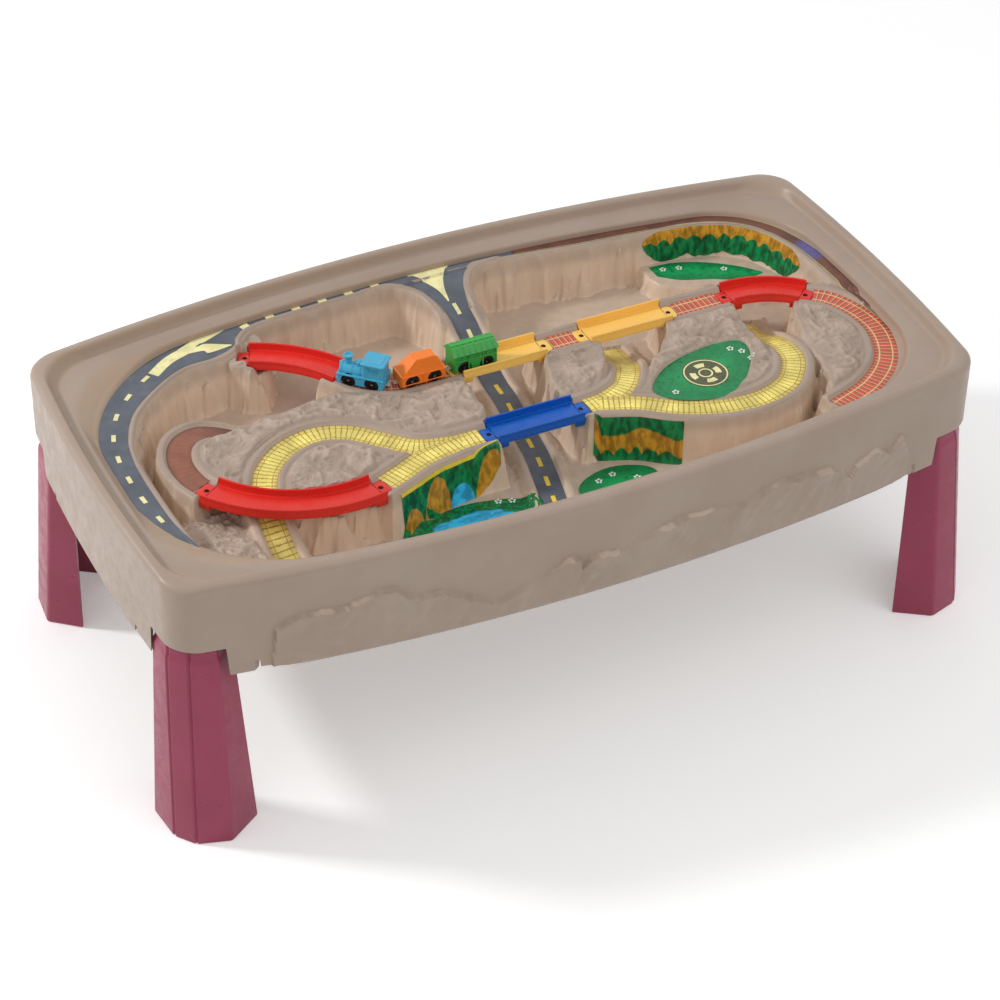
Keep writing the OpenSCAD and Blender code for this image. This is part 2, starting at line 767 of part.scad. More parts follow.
module engine_shell() {
    cab_len = car_len * 0.44;
    block(car_len, car_w, body_low, axle_z + wheel_d / 2, edge_round);
    translate([(cab_len - car_len) / 2 + 1, 0, 0]) {
        block(cab_len, car_w - 2, axle_z, cab_top - 3, edge_round);
        block(cab_len + 3, car_w + 1, cab_top - 3, cab_top, edge_round);
    }
    translate([-car_len / 2 + cab_len, 0, hood_top - car_w * 0.36])
        rotate([0, 90, 0])
            cylinder(r = car_w * 0.36, h = car_len - cab_len - 2);
    translate([car_len * 0.32, 0, hood_top - 3]) {
        cylinder(d = chimney_d * 0.8, h = cab_top - hood_top);
        translate([0, 0, cab_top - hood_top - 3])
            cylinder(d1 = chimney_d * 0.8, d2 = chimney_d, h = 5);
    }
    translate([car_len * 0.08, 0, hood_top - 4])
        cylinder(d = chimney_d * 0.9, h = 8);
}

module engine_body() {
    window_z = (hood_top + cab_top) / 2 - 3;
    color([0.33, 0.7, 0.86])
        place(engine_place)
            difference() {
                engine_shell();
                underbody_cut();
                for (y = [-1, 1])
                    translate([-car_len * 0.28, y * (car_w / 2 - 1), window_z])
                        cube([car_len * 0.22, 2 * window_in, (cab_top - hood_top) * 0.7], center = true);
            }
}

// A block whose four sides lean in to a smaller top
module heap(len_low, w_low, len_high, w_high, low, high, shift) {
    loft([for (s = [[len_low, w_low, low, 0], [len_high, w_high, high, shift]]) [
        for (c = [[-1, -1], [1, -1], [1, 1], [-1, 1]]) [c.x * s[0] / 2 + s[3], c.y * s[1] / 2, s[2]]
    ]]);
}

module tender_body() {
    rim = axle_z + wheel_d / 2 + 2;
    color([0.93, 0.5, 0.16])
        place(tender_place)
            difference() {
                union() {
                    block(car_len, car_w, body_low, rim, edge_round);
                    heap(car_len - 4, car_w - 2, car_len * 0.46, car_w * 0.62, rim - 1, load_top, -car_len * 0.08);
                }
                underbody_cut();
            }
}

module boxcar_body() {
    ribs = 5;
    pitch = (car_len - 2 * edge_round) / ribs;
    color([0.27, 0.67, 0.34])
        place(boxcar_place)
            difference() {
                union() {
                    block(car_len - 2, car_w - 1, body_low, eaves_top, edge_round);
                    heap(car_len + 2, car_w + 3, car_len - 2, car_w * 0.5, eaves_top - 2, eaves_top + roof_rise, 0);
                }
                underbody_cut();
                for (i = [0 : ribs - 1], y = [-1, 1])
                    translate([(i - (ribs - 1) / 2) * pitch, y * (car_w / 2 - 0.5), eaves_top - 7])
                        cube([pitch * 0.62, 2 * window_in, 6], center = true);
            }
}

// Underframe with the axle bearings
module base() {
    difference() {
        translate([-car_len / 2 + body_wall + wheel_gap, -base_w / 2, base_low])
            cube([car_len - 2 * body_wall - 2 * wheel_gap, base_w, base_top - base_low]);
        for (x = [-1, 1])
            translate([x * wheelbase / 2, -car_w / 2, axle_z])
                rotate([-90, 0, 0])
                    cylinder(d = axle_d + 2 * axle_gap, h = car_w);
    }
}

// Coupling strip under the underframe, with an eye in front and a hook behind
module hitch() {
    eye_at = car_len / 2 + hitch_reach - hitch_w / 2;
    difference() {
        union() {
            translate([-eye_at, -hitch_w / 2, base_low - hitch_t])
                cube([2 * eye_at, hitch_w, hitch_t]);
            for (x = [-eye_at, eye_at])
                translate([x, 0, base_low - hitch_t])
                    cylinder(d = hitch_w, h = hitch_t);
            translate([-eye_at, 0, base_low - hitch_t])
                cylinder(d = hitch_w / 2, h = 3 * hitch_t);
        }
        translate([eye_at, 0, base_low - 2 * hitch_t])
            cylinder(d = hitch_w * 0.6, h = 3 * hitch_t);
    }
}

module axle(end) {
    translate([end * wheelbase / 2, -wheel_span / 2, axle_z])
        rotate([-90, 0, 0])
            cylinder(d = axle_d, h = wheel_span);
}

// A pair of wheels with a dished outer face
module wheels(end) {
    dish = 1.2;
    for (s = [-1, 1])
        translate([end * wheelbase / 2, s * wheel_span / 2, axle_z])
            rotate([s * 90, 0, 0])
                difference() {
                    union() {
                        translate([0, 0, dish])
                            cylinder(d = wheel_d, h = wheel_w - dish);
                        difference() {
                            cylinder(d1 = wheel_d - 2 * dish, d2 = wheel_d, h = dish);
                            translate([0, 0, -dish])
                                cylinder(d = wheel_d * 0.62, h = 3 * dish);
                        }
                        cylinder(d = axle_d + 3, h = wheel_w);
                    }
                    translate([0, 0, -1])
                        cylinder(d = axle_d, h = wheel_w + 2);
                }
}

module car_base(at) {
    color([0.15, 0.15, 0.16])
        place(at)
            base();
}

module car_hitch(at) {
    color([0.85, 0.85, 0.82])
        place(at)
            hitch();
}

module car_axle(at, end) {
    color([0.75, 0.75, 0.77])
        place(at)
            axle(end);
}

module car_wheels(at, end) {
    color([0.08, 0.08, 0.08])
        place(at)
            wheels(end);
}

module engine_base() {
    car_base(engine_place);
}

module engine_hitch() {
    car_hitch(engine_place);
}

module engine_front_axle() {
    car_axle(engine_place, 1);
}

module engine_rear_axle() {
    car_axle(engine_place, -1);
}

module engine_front_wheels() {
    car_wheels(engine_place, 1);
}

module engine_rear_wheels() {
    car_wheels(engine_place, -1);
}

module tender_base() {
    car_base(tender_place);
}

module tender_hitch() {
    car_hitch(tender_place);
}

module tender_front_axle() {
    car_axle(tender_place, 1);
}

module tender_rear_axle() {
    car_axle(tender_place, -1);
}

module tender_front_wheels() {
    car_wheels(tender_place, 1);
}

module tender_rear_wheels() {
    car_wheels(tender_place, -1);
}

module boxcar_base() {
    car_base(boxcar_place);
}

module boxcar_hitch() {
    car_hitch(boxcar_place);
}

module boxcar_front_axle() {
    car_axle(boxcar_place, 1);
}

module boxcar_rear_axle() {
    car_axle(boxcar_place, -1);
}

module boxcar_front_wheels() {
    car_wheels(boxcar_place, 1);
}

module boxcar_rear_wheels() {
    car_wheels(boxcar_place, -1);
}

tray();
leg_front_left();
leg_front_right();
leg_back_left();
leg_back_right();
leg_screws();
bridge_ramp();
bridge_curve();
bridge_orange_left();
bridge_orange_right();
bridge_blue();
bridge_red_right();
bridge_screws();
engine_body();
engine_base();
engine_hitch();
engine_front_axle();
engine_rear_axle();
engine_front_wheels();
engine_rear_wheels();
tender_body();
tender_base();
tender_hitch();
tender_front_axle();
tender_rear_axle();
tender_front_wheels();
tender_rear_wheels();
boxcar_body();
boxcar_base();
boxcar_hitch();
boxcar_front_axle();
boxcar_rear_axle();
boxcar_front_wheels();
boxcar_rear_wheels();
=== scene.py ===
"""Moulded train and road table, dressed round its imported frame.

Plan points are millimetres, x to the right and y to the back; depths are millimetres below the rim.
"""

import bmesh
import bpy
import numpy as np
from bpy.props import FloatProperty, FloatVectorProperty, PointerProperty
from mathutils import Matrix, Vector


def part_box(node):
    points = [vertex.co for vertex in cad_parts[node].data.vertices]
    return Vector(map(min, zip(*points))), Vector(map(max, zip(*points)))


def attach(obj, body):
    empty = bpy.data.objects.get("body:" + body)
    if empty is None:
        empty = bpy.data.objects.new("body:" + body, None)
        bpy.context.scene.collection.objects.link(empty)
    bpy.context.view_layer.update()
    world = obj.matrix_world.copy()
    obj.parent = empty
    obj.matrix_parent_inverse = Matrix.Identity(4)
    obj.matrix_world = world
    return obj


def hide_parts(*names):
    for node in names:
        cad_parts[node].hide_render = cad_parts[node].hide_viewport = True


bl_info = {
    "name": "Train table",
    "version": (1, 0, 0),
    "blender": (4, 5, 0),
    "location": "View3D > Sidebar > Table",
    "description": "Dresses a moulded train and road table round its packed frame",
    "category": "Object",
}

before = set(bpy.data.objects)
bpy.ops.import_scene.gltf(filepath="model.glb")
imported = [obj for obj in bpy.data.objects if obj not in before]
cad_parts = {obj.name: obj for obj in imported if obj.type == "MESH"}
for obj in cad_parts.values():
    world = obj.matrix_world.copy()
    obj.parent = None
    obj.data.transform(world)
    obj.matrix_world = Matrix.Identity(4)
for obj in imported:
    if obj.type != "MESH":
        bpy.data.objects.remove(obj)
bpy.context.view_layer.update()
TRAY_LOW, TRAY_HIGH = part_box("tray")
MM = 0.001
# Fixed sizes in millimetres: a printed film, the leg pockets' tops, and the seats of the bridges' bodies and tongues
FILM_THICKNESS = 0.6
POCKET_DEPTH = 105
BODY_SEAT = 52.6
TONGUE_SEAT = 44.4
# The landscape's grid: its inset from the tray's outline, columns, rows, parts and the rows under it
LAND_INSET = 42.0
LAND_COLUMNS = 721
LAND_ROWS = 377
LAND_PARTS = ("left", "middle_left", "middle_right", "right")
LAND_UNDER_ROWS = 24


def linear(red, green, blue):
    """A screen colour of 0 to 255 as the linear values that a shader takes."""
    c = np.array([red, green, blue]) / 255.0
    return tuple(np.where(c <= 0.04045, c / 12.92, ((c + 0.055) / 1.055) ** 2.4).tolist())


def length_prop(name, text, metres):
    """A length that a user would change."""
    return FloatProperty(name=name, description=text, default=metres, unit="LENGTH")


def colour_prop(name, text, *rgb):
    """A colour that a user would change, from screen values."""
    return FloatVectorProperty(name=name, description=text, subtype="COLOR", size=3, min=0, max=1, default=linear(*rgb))


class TableSizes(bpy.types.PropertyGroup):
    """Sizes of the table that a user would change."""

    length: length_prop("Length", "Length of the tray over its bowed ends", TRAY_HIGH.x - TRAY_LOW.x)
    width: length_prop("Width", "Width of the tray at the middle of its bowed sides", TRAY_HIGH.y - TRAY_LOW.y)
    height: length_prop("Height", "Height of the rim above the floor", TRAY_HIGH.z)
    side_bow: length_prop("Side bow", "How far each long side bows out", 0.056)
    end_bow: length_prop("End bow", "How far each short end bows out", 0.013)
    wall_depth: length_prop("Wall depth", "Depth of the outer wall", 0.153)
    shelf_depth: length_prop("Shelf depth", "Depth of the road shelf", 0.030)
    bank_depth: length_prop("Bank depth", "Depth of the rail banks' tops", 0.036)
    lane_depth: length_prop("Lane depth", "Depth of the rail lanes", 0.040)
    floor_depth: length_prop("Floor depth", "Depth of the canyon floor", 0.108)
    lane_width: length_prop("Lane width", "Width of a rail lane", 0.036)
    rock_relief: length_prop("Rock relief", "Height of the crags on the rock tops", 0.013)
    wall_relief: length_prop("Wall relief", "Height of the rock relief on the outer wall", 0.009)


class TableColours(bpy.types.PropertyGroup):
    """Colours of the table that a user would change."""

    tray: colour_prop("Tray", "Moulded plastic of the tray", 166, 148, 134)
    # Painted light: the canyons' floors and walls are tinted towards this lighter, warmer colour as painted bounce
    # light
    canyon_bounce_light: colour_prop("Recess", "Tray plastic deep in the canyons", 202, 181, 161)
    # Painted shade: the rim's inner slopes are tinted towards this darker brown, most at the left end
    slope: colour_prop("Slope", "Tray plastic on the rim's inner slopes", 172, 147, 125)
    leg: colour_prop("Leg", "Burgundy plastic of the legs", 152, 58, 84)
    red: colour_prop("Red bridge", "Plastic of the curved bridges", 222, 46, 36)
    orange: colour_prop("Orange bridge", "Plastic of the straight orange bridges", 255, 202, 100)
    blue: colour_prop("Blue bridge", "Plastic of the blue bridge", 4, 88, 184)
    engine: colour_prop("Engine", "Plastic of the engine", 72, 174, 212)
    tender: colour_prop("Tender", "Plastic of the tender", 255, 132, 36)
    boxcar: colour_prop("Box car", "Plastic of the box car", 58, 162, 70)
    road: colour_prop("Road", "Printed road", 90, 95, 105)
    cream: colour_prop("Road marks", "Printed road marks", 238, 230, 170)
    track: colour_prop("Track", "Printed yellow track", 240, 222, 120)
    sleeper: colour_prop("Sleepers", "Printed lines of the yellow track", 150, 116, 40)
    brick: colour_prop("Brick track", "Printed red track", 206, 92, 74)
    brown: colour_prop("Brown track", "Printed brown track", 142, 88, 68)
    grass: colour_prop("Grass", "Printed green ground", 10, 140, 78)
    bush: colour_prop("Bushes", "Printed dark green bushes", 12, 104, 58)
    ochre: colour_prop("Ochre", "Printed ochre bushes", 196, 142, 42)
    water: colour_prop("Water", "Printed blue", 52, 168, 218)


# Plan of the landscape

VALLEY = [
    (-505, -205), (-440, -243), (-300, -266), (-100, -277), (100, -277), (300, -266), (440, -250), (508, -206),
    (535, -176), (563, -110), (556, -50), (541, -5), (537, 60), (531, 120), (512, 176), (478, 213), (430, 234),
    (375, 242), (250, 252), (120, 270), (-60, 274), (-180, 269), (-262, 261), (-292, 243), (-304, 222),
    (-335, 206), (-390, 202), (-440, 174), (-486, 131), (-512, 83), (-523, 40), (-525, -40), (-523, -110),
    (-518, -164),
]
# Rock masses: depth of the top, then the outline
ROCKS = [
    (34, [(-448, 62), (-380, 66), (-300, 60), (-215, 70), (-150, 38), (-60, 36), (-52, -30), (-66, -72), (-120, -66),
          (-165, -50), (-215, -5), (-285, 30), (-350, 16), (-405, -40), (-430, -70), (-452, 0)]),
    (33, [(-368, -62), (-330, -36), (-285, -24), (-245, -34), (-208, -72), (-218, -104), (-262, -150), (-330, -152),
          (-366, -112)]),
    (72, [(-512, -80), (-490, -160), (-440, -212), (-414, -190), (-420, -120), (-440, -60)]),
    (34, [(88, 42), (156, 42), (166, 10), (148, -34), (118, -64), (72, -72), (66, -30)]),
    (35, [(290, 46), (392, 46), (390, 0), (384, -60), (372, -112), (330, -148), (270, -160), (200, -134), (160, -100),
          (190, -62), (236, -20), (268, 16)]),
    (34, [(478, 10), (512, -8), (532, -60), (526, -130), (490, -190), (440, -228), (404, -222), (428, -150), (436, -90),
          (450, -40)]),
    (36, [(-322, 232), (-268, 250), (-282, 186), (-318, 184)]),
    (80, [(345, 262), (343, 192), (375, 164), (430, 144), (485, 114), (528, 100), (552, 122), (542, 196), (480, 244),
          (400, 262)]),
]
PAD = [
    (176, -108), (205, -70), (250, -48), (310, -38), (352, -48), (346, -88), (308, -136), (262, -158), (206, -142),
]
# Rail lanes: plan points, each with its share of the way down to the canyon floor
RAILS = [
    [(-200, 126, 0), (-190, 106, 0), (-178, 87.5, 0), (-160, 72.5, 0), (-139, 63, 0), (-116, 60, 0), (-46, 60, 0)],
    [(87, 60, 0), (120, 60, 0), (157, 60, 0)],
    [(287, 60, 0), (340, 60, 0), (389, 60, 0)],
    [(489, 21, 0), (522, -10, 0), (541, -62, 0), (540, -116, 0), (514, -172, 0), (464, -214, 0), (396, -240, 0)],
    [(-66, -96, 0), (-120, -95, 0), (-172, -80, 0), (-206, -48, 0), (-242, -14, 0), (-288, 0, 0), (-336, -14, 0),
     (-374, -48, 0), (-394, -90, 0.09), (-399, -132, 0.39), (-396, -176, 0.81), (-388, -220, 1)],
    [(-108, -96, 0), (-170, -108, 0), (-215, -127, 0), (-255, -143, 0)],
    [(-458, -57, 0), (-470, -22, 0), (-471, 20, 0), (-454, 58, 0.01), (-422, 76, 0.08), (-384, 84, 0.33),
     (-342, 92, 0.72), (-300, 102, 1)],
    [(68, -96, 0), (110, -92, 0), (146, -76, 0.01), (172, -44, 0.09), (192, -4, 0.33), (208, 46, 0.75), (218, 96, 1)],
    [(98, -97, 0), (150, -120, 0), (192, -150, 0), (242, -172, 0), (300, -180, 0), (356, -164, 0), (392, -124, 0),
     (404, -82, 0.08), (407, -36, 0.3), (413, 14, 0.69), (424, 72, 1)],
]
ROAD = [
    (18, 268, 0), (20, 228, 0.04), (22, 184, 0.22), (24, 140, 0.56), (25, 104, 0.84), (25, 72, 0.97), (24, 40, 1),
    (15, -20, 1), (5, -95, 1), (-12, -170, 1), (-30, -240, 1),
]
# The curbs that open out where the centre road leaves the shelf
MOUTH = [
    (-86, 279), (-46, 266), (-22, 240), (-10, 196), (-8, 170), (54, 170), (54, 200), (62, 240), (84, 266), (120, 277),
]
# Bridges: first screw hole, last screw hole, bulge of the middle to the left of that way
BRIDGES = {
    "bridge_ramp": ((-301, 208), (-190, 106), 14, "red"),
    "bridge_curve": ((-461, -52), (-250, -142), -37, "red"),
    "bridge_orange_left": ((-48, 60), (92, 60), 0, "orange"),
    "bridge_orange_right": ((152, 60), (292, 60), 0, "orange"),
    "bridge_blue": ((-69, -96), (71, -96), 0, "blue"),
    "bridge_red_right": ((384, 60), (494, 16), 14, "red"),
}
LEG_FLOOR = [
    (-578, -181), (-619, -215), (-613, -273), (-592, -301), (-546, -315), (-497.4, -282.4),
]
LEG_HEAD = [
    (-575, -180), (-598, -199), (-598, -246), (-577, -271), (-541, -283), (-513, -258),
]
# Skyline of the relief on the front wall as x and depth, and how far its plates stand out along x
RANGE = [
    (-476, 152), (-468, 82), (-441, 70), (-411, 69), (-387, 72), (-372, 74), (-368, 67), (-345, 63), (-326, 57),
    (-311, 57), (-295, 73), (-281, 83), (-270, 80), (-239, 84), (-220, 94), (-207, 104), (-175, 120), (-168, 121),
    (-145, 114), (-113, 103), (-87, 94), (-70, 82), (-53, 82), (-48, 104), (-36, 90), (-24, 88), (15, 93), (63, 78),
    (109, 68), (129, 72), (155, 69), (182, 81), (202, 82), (230, 71), (259, 65), (289, 70), (333, 74), (363, 86),
    (374, 108), (384, 88), (418, 72), (443, 88), (463, 68), (480, 104), (488, 150),
]
PLATES = [
    (-470, 0.35), (-371, 1), (-367, 0.5), (-300, 1), (-282, 0.2), (-276, 0.7), (-180, 0.5), (-168, 0.3), (-52, 1),
    (-47, 0.1), (-20, 0.8), (20, 0.4), (105, 0.9), (150, 0.6), (190, 1), (206, 0.3), (260, 0.9), (366, 0.7),
    (376, 0.1), (420, 0.8), (446, 0.3), (466, 0.9), (486, 0.4),
]
CARS = {"engine": (-174.584, 83.947, 136), "tender": (-101, 59.78, 179.935), "boxcar": (-21, 60, 180)}

# Maths


def sizes():
    """The table's sizes, as the scene holds them."""
    return bpy.context.scene.table_sizes


def mm(name):
    """A size of the table in millimetres."""
    return getattr(sizes(), name) / MM


def smooth(x, a, b):
    """Rises from 0 at a to 1 at b with level ends."""
    t = np.clip((x - a) / (b - a), 0, 1)
    return t * t * (3 - 2 * t)


def curve(points, per, closed=False):
    """Catmull-Rom curve through the points, with per places on each piece."""
    p = np.asarray(points, float)
    if closed:
        q = np.vstack([p[-1:], p, p[:2]])
    else:
        q = np.vstack([2 * p[:1] - p[1:2], p, 2 * p[-1:] - p[-2:-1]])
    t = np.linspace(0, 1, per, endpoint=False)[:, None]
    a, b, c, d = q[:-3, None], q[1:-2, None], q[2:-1, None], q[3:, None]
    out = 0.5 * (2 * b + (c - a) * t + (2 * a - 5 * b + 4 * c - d) * t**2 + (3 * b - a - 3 * c + d) * t**3)
    out = out.reshape(-1, p.shape[1])
    return out if closed else np.vstack([out, p[-1:]])


def runs(path):
    """Length along a path in plan at each of its points."""
    return np.concatenate([[0], np.cumsum(np.hypot(*np.diff(path[:, :2], axis=0).T))])


def near(xy, path, reach=60.0):
    """For each point the distance across to a path, the run along it, and how far the point lies past its ends."""
    across, along, past = np.full(len(xy), 1e6), np.zeros(len(xy)), np.full(len(xy), 1e6)
    path = path[:, :2]
    part = np.flatnonzero(np.all((xy > path.min(0) - reach) & (xy < path.max(0) + reach), axis=1))
    p, start = xy[part], runs(path)
    best, at = np.full(len(p), 1e6), np.zeros(len(p))
    for a, b, s in zip(path[:-1], path[1:], start):
        ab = b - a
        size = np.hypot(*ab)
        t = np.clip((p - a) @ ab / size**2, 0, 1)
        d = np.hypot(*(p - a - t[:, None] * ab).T)
        at = np.where(d < best, s + t * size, at)
        best = np.minimum(d, best)
    first, last = path[0] - path[1], path[-1] - path[-2]
    over = np.where(at <= 0, (p - path[0]) @ first / np.hypot(*first), -1e3)
    over = np.where(at >= start[-1], (p - path[-1]) @ last / np.hypot(*last), over)
    across[part] = np.sqrt(np.maximum(best**2 - np.maximum(over, 0) ** 2, 0))
    along[part], past[part] = at, over
    return across, along, past


def into(xy, outline, reach=60.0):
    """How far each point lies inside an outline, negative outside: the distance to it, signed by counting crossings."""
    loop = np.vstack([outline, outline[:1]])
    part = np.flatnonzero(np.all((xy > loop.min(0) - reach) & (xy < loop.max(0) + reach), axis=1))
    p = xy[part]
    best, odd = np.full(len(p), 1e6), np.zeros(len(p), bool)
    for a, b in zip(loop[:-1], loop[1:]):
        ab = b - a
        t = np.clip((p - a) @ ab / (ab @ ab), 0, 1)
        best = np.minimum(best, np.hypot(*(p - a - t[:, None] * ab).T))
        rises = (a[1] > p[:, 1]) != (b[1] > p[:, 1])
        odd ^= rises & (p[:, 0] < ab[0] * (p[:, 1] - a[1]) / (ab[1] if ab[1] else 1e-9) + a[0])
    out = np.full(len(xy), -1e6)
    out[part] = np.where(odd, best, -best)
    return out


def lattice(xy, size, seed):
    """Smooth noise from 0 to 1: random values on a square lattice, blended between its points."""
    values = np.random.default_rng(seed).random((96, 96))
    p = np.asarray(xy, float) / size + 37.3
    i = np.floor(p).astype(int)
    fx, fy = ((p - i) ** 2 * (3 - 2 * (p - i))).T
    x0, y0 = (i % 96).T
    x1, y1 = (x0 + 1) % 96, (y0 + 1) % 96
    low = values[x0, y0] * (1 - fx) + values[x1, y0] * fx
    return low * (1 - fy) + (values[x0, y1] * (1 - fx) + values[x1, y1] * fx) * fy


def crags(xy, size, seed):
    """Ridged noise from 0 to about 1: three layers of folded lattice noise, each half the size of the last."""
    return sum(0.57 * 0.5**k * (1 - np.abs(2 * lattice(xy, size * 0.5**k, seed + k) - 1)) for k in range(3))


def drop(out, top, low, run, flute):
    """Height of a rock wall at a distance out past its top edge: level on top, then down to low within run."""
    out = out + flute * smooth(out, 1, run * 0.7)
    return top + (low - top) * smooth(out, 0, run)


def rail_path(rail):
    """A rail's middle line with its height at each point."""
    path = curve(rail, 10)
    fall = mm("floor_depth") - mm("lane_depth") - 1
    path[:, 2] = mm("height") - mm("lane_depth") - fall * np.clip(path[:, 2], 0, 1)
    return path


def road_path():
    """The centre road's middle line with its height at each point, down to a little above the canyon floor."""
    path = curve(ROAD, 10)
    fall = mm("floor_depth") - mm("shelf_depth") - 8
    path[:, 2] = mm("height") - mm("shelf_depth") - 0.4 - fall * np.clip(path[:, 2], 0, 1)
    return path


def bridge_path(first, last, bulge):
    """Middle line of a bridge's deck: a straight line, or the arc through both holes with that bulge."""
    a, b = np.array(first, float), np.array(last, float)
    t = np.linspace(0, 1, 49)[:, None]
    if bulge == 0:
        xy = a + (b - a) * t
    else:
        side = np.sign(bulge)
        chord = np.hypot(*(b - a))
        radius = (chord**2 / 4 + bulge**2) / (2 * abs(bulge))
        left = np.array([-(b - a)[1], (b - a)[0]]) / chord
        centre = (a + b) / 2 - side * left * (radius - abs(bulge))
        start = np.arctan2(*(a - centre)[::-1])
        angle = start - side * 2 * np.arcsin(chord / 2 / radius) * t
        xy = centre + radius * np.hstack([np.cos(angle), np.sin(angle)])
    return np.hstack([xy, np.full((49, 1), mm("height") - mm("lane_depth"))])


def on_path(path, run, side):
    """Points at a run along a path and a distance to its left; the path is carried straight on past its ends."""
    s = runs(path)
    way = np.gradient(path[:, :2], axis=0)
    way /= np.hypot(*way.T)[:, None]
    wx, wy = np.interp(run, s, way[:, 0]), np.interp(run, s, way[:, 1])
    extra = run - np.clip(run, 0, s[-1])
    x = np.interp(run, s, path[:, 0]) + wx * extra - wy * side
    y = np.interp(run, s, path[:, 1]) + wy * extra + wx * side
    return np.stack([x, y, np.interp(run, s, path[:, 2]) + 0 * side], -1)


def rough(xy):
    """Crumpled rock from 0 to 1: ridged noise at two sizes over places that smooth noise pushes about."""
    push = np.stack([lattice(xy, 26, 31), lattice(xy, 26, 32)], -1) - 0.5
    return 0.7 * crags(xy + 24 * push, 27, 11) + 0.3 * crags(xy + 10 * push, 10, 15)


def calm(xy):
    """1 where printed films cover a wall, which is smooth there, and 0 elsewhere: the largest of soft-edged boxes."""
    boxes = [(335, 85, 600, 300), (-262, -210, -50, -112), (84, -240, 222, -112)]
    soft = [smooth(xy[:, 0], x0 - 8, x0 + 8) * smooth(-xy[:, 0], -x1 - 8, 8 - x1) * smooth(xy[:, 1], y0 - 8, y0 + 8)
            * smooth(-xy[:, 1], -y1 - 8, 8 - y1) for x0, y0, x1, y1 in boxes]
    return np.max(soft, axis=0)


def lip(across, half, rise):
    """A rounded bead along a line: a cosine arch of that half width."""
    return rise * np.cos(np.clip(across / half, -1, 1) * np.pi / 2)


def terrain(xy):
    """Height of the moulded landscape at each plan point, how far its rock stands out, and how rugged it is there.

    The canyon floor, then the highest of the shelf's wall, the rock masses and the banks, each with fluted walls;
    lanes, road, pad and bridge seats are then cut down into that.
    """
    height = mm("height")
    wild = 1 - calm(xy)
    flute = (11 * (lattice(xy, 15, 5) - 0.5) + 5 * (lattice(xy, 6, 6) - 0.5)) * (0.15 + 0.85 * wild)
    grain = rough(xy) - 0.55
    floor = height - mm("floor_depth") + 1.5 * lattice(xy, 50, 7)
    half_lane = mm("lane_width") / 2
    valley = into(xy, curve(VALLEY, 5, True), 900)
    z = drop(valley, height - mm("shelf_depth"), floor, 17, flute) + lip(valley + 3.4, 3.4, 1.8)
    stone = np.zeros(len(xy))
    for depth, outline in ROCKS:
        out = 7 * (lattice(xy, 17, 9) - 0.5) - into(xy, curve(outline, 4, True))
        rugged = smooth(-out, -2, 8) * (depth < 78)
        rock = drop(out, height - depth + rugged * grain * mm("rock_relief"), floor, 15, 1.3 * flute)
        stone = np.where(rock > z, rugged, stone)
        z = np.maximum(z, rock)
    z += 5 * grain * smooth(z - floor, 3, 14) * smooth(height - 42 - z, 0, 14) * (valley > 2) * wild
    tracks = [(rail_path(r), half_lane, 10, mm("lane_depth") - mm("bank_depth")) for r in RAILS]
    tracks.append((road_path(), 19, 9, 4))
    beds = []
    for path, half, curb, rise in tracks:
        across, run, past = near(xy, path)
        bed = np.interp(run, runs(path), path[:, 2])
        out = np.maximum(across - half - curb, past)
        clear = smooth(out, 0.5, 7)
        z = z - (1 - clear) * np.maximum(z - bed - rise, 0)
        z = np.maximum(z, drop(out, bed + rise, floor, 13, flute * 0.7) + lip(across - half - 5, 5, 1.2) * (out < 0))
        stone = stone * clear
        beds.append((across, past, bed, half))
    across, past, bed, half = beds[-1]
    mouth = -into(xy, curve(MOUTH, 5, True))
    z = np.maximum(z, drop(mouth, bed + 3.5, floor, 14, flute * 0.7))
    beds[-1] = (np.where(xy[:, 1] > 190, np.minimum(across, np.maximum(mouth + 28, 0)), across), past, bed, half)
    for across, past, bed, half in beds:
        cut = smooth(across, half - 1.2, half + 1.8)
        z = np.where(past < 1, np.minimum(z, bed + np.maximum(z - bed, 0) * cut), z)
    pad = into(xy, curve(PAD, 5, True))
    z = np.minimum(z, height - mm("bank_depth") - 2 + 40 * (1 - smooth(pad, -1.5, 1.5)))
    stone = stone * (1 - smooth(pad, -6, 0))
    for first, last, bulge, _ in BRIDGES.values():
        path = bridge_path(first, last, bulge)
        across, run, past = near(xy, path)
        end = runs(path)[-1]
        run = np.where(past > 0, np.where(run <= 0, -past, end + past), run)
        inside = np.minimum(run - 4.2, end - 4.2 - run)
        body = smooth(across, 24.8, 26.6) + smooth(-inside, 0, 1.6)
        z = np.minimum(z, height - BODY_SEAT + 60 * np.clip(body, 0, 1))
        tip = np.minimum(run + 11, end + 11 - run)
        tongue_room = smooth(across, 14.6, 16) + smooth(-tip, 0, 1.4)
        z = np.minimum(z, height - TONGUE_SEAT + 60 * np.clip(tongue_room, 0, 1))
    # The second and third values only paint light and shade: highlights on the rock's ridges, shade in its crevices,
    # and less canyon tint on rugged rock
    return z, stone * grain, stone


# Meshes


def grid_faces(rows, columns, wrap_rows=False, wrap_columns=False):
    """Quads of a grid of points stored row by row, joined round where it wraps."""
    i, j = np.meshgrid(np.arange(rows - (not wrap_rows)), np.arange(columns - (not wrap_columns)), indexing="ij")
    i1, j1 = (i + 1) % rows, (j + 1) % columns
    return np.stack([i * columns + j, i1 * columns + j, i1 * columns + j1, i * columns + j1], -1).reshape(-1, 4)


def upright(points):
    """Unit normals of a grid of points, turned to the upper side: the cross product of its two slopes."""
    normal = np.cross(np.gradient(points, axis=0), np.gradient(points, axis=1))
    normal *= np.where(normal[..., 2:] < 0, -1, 1)
    return normal / (np.linalg.norm(normal, axis=2, keepdims=True) + 1e-9)


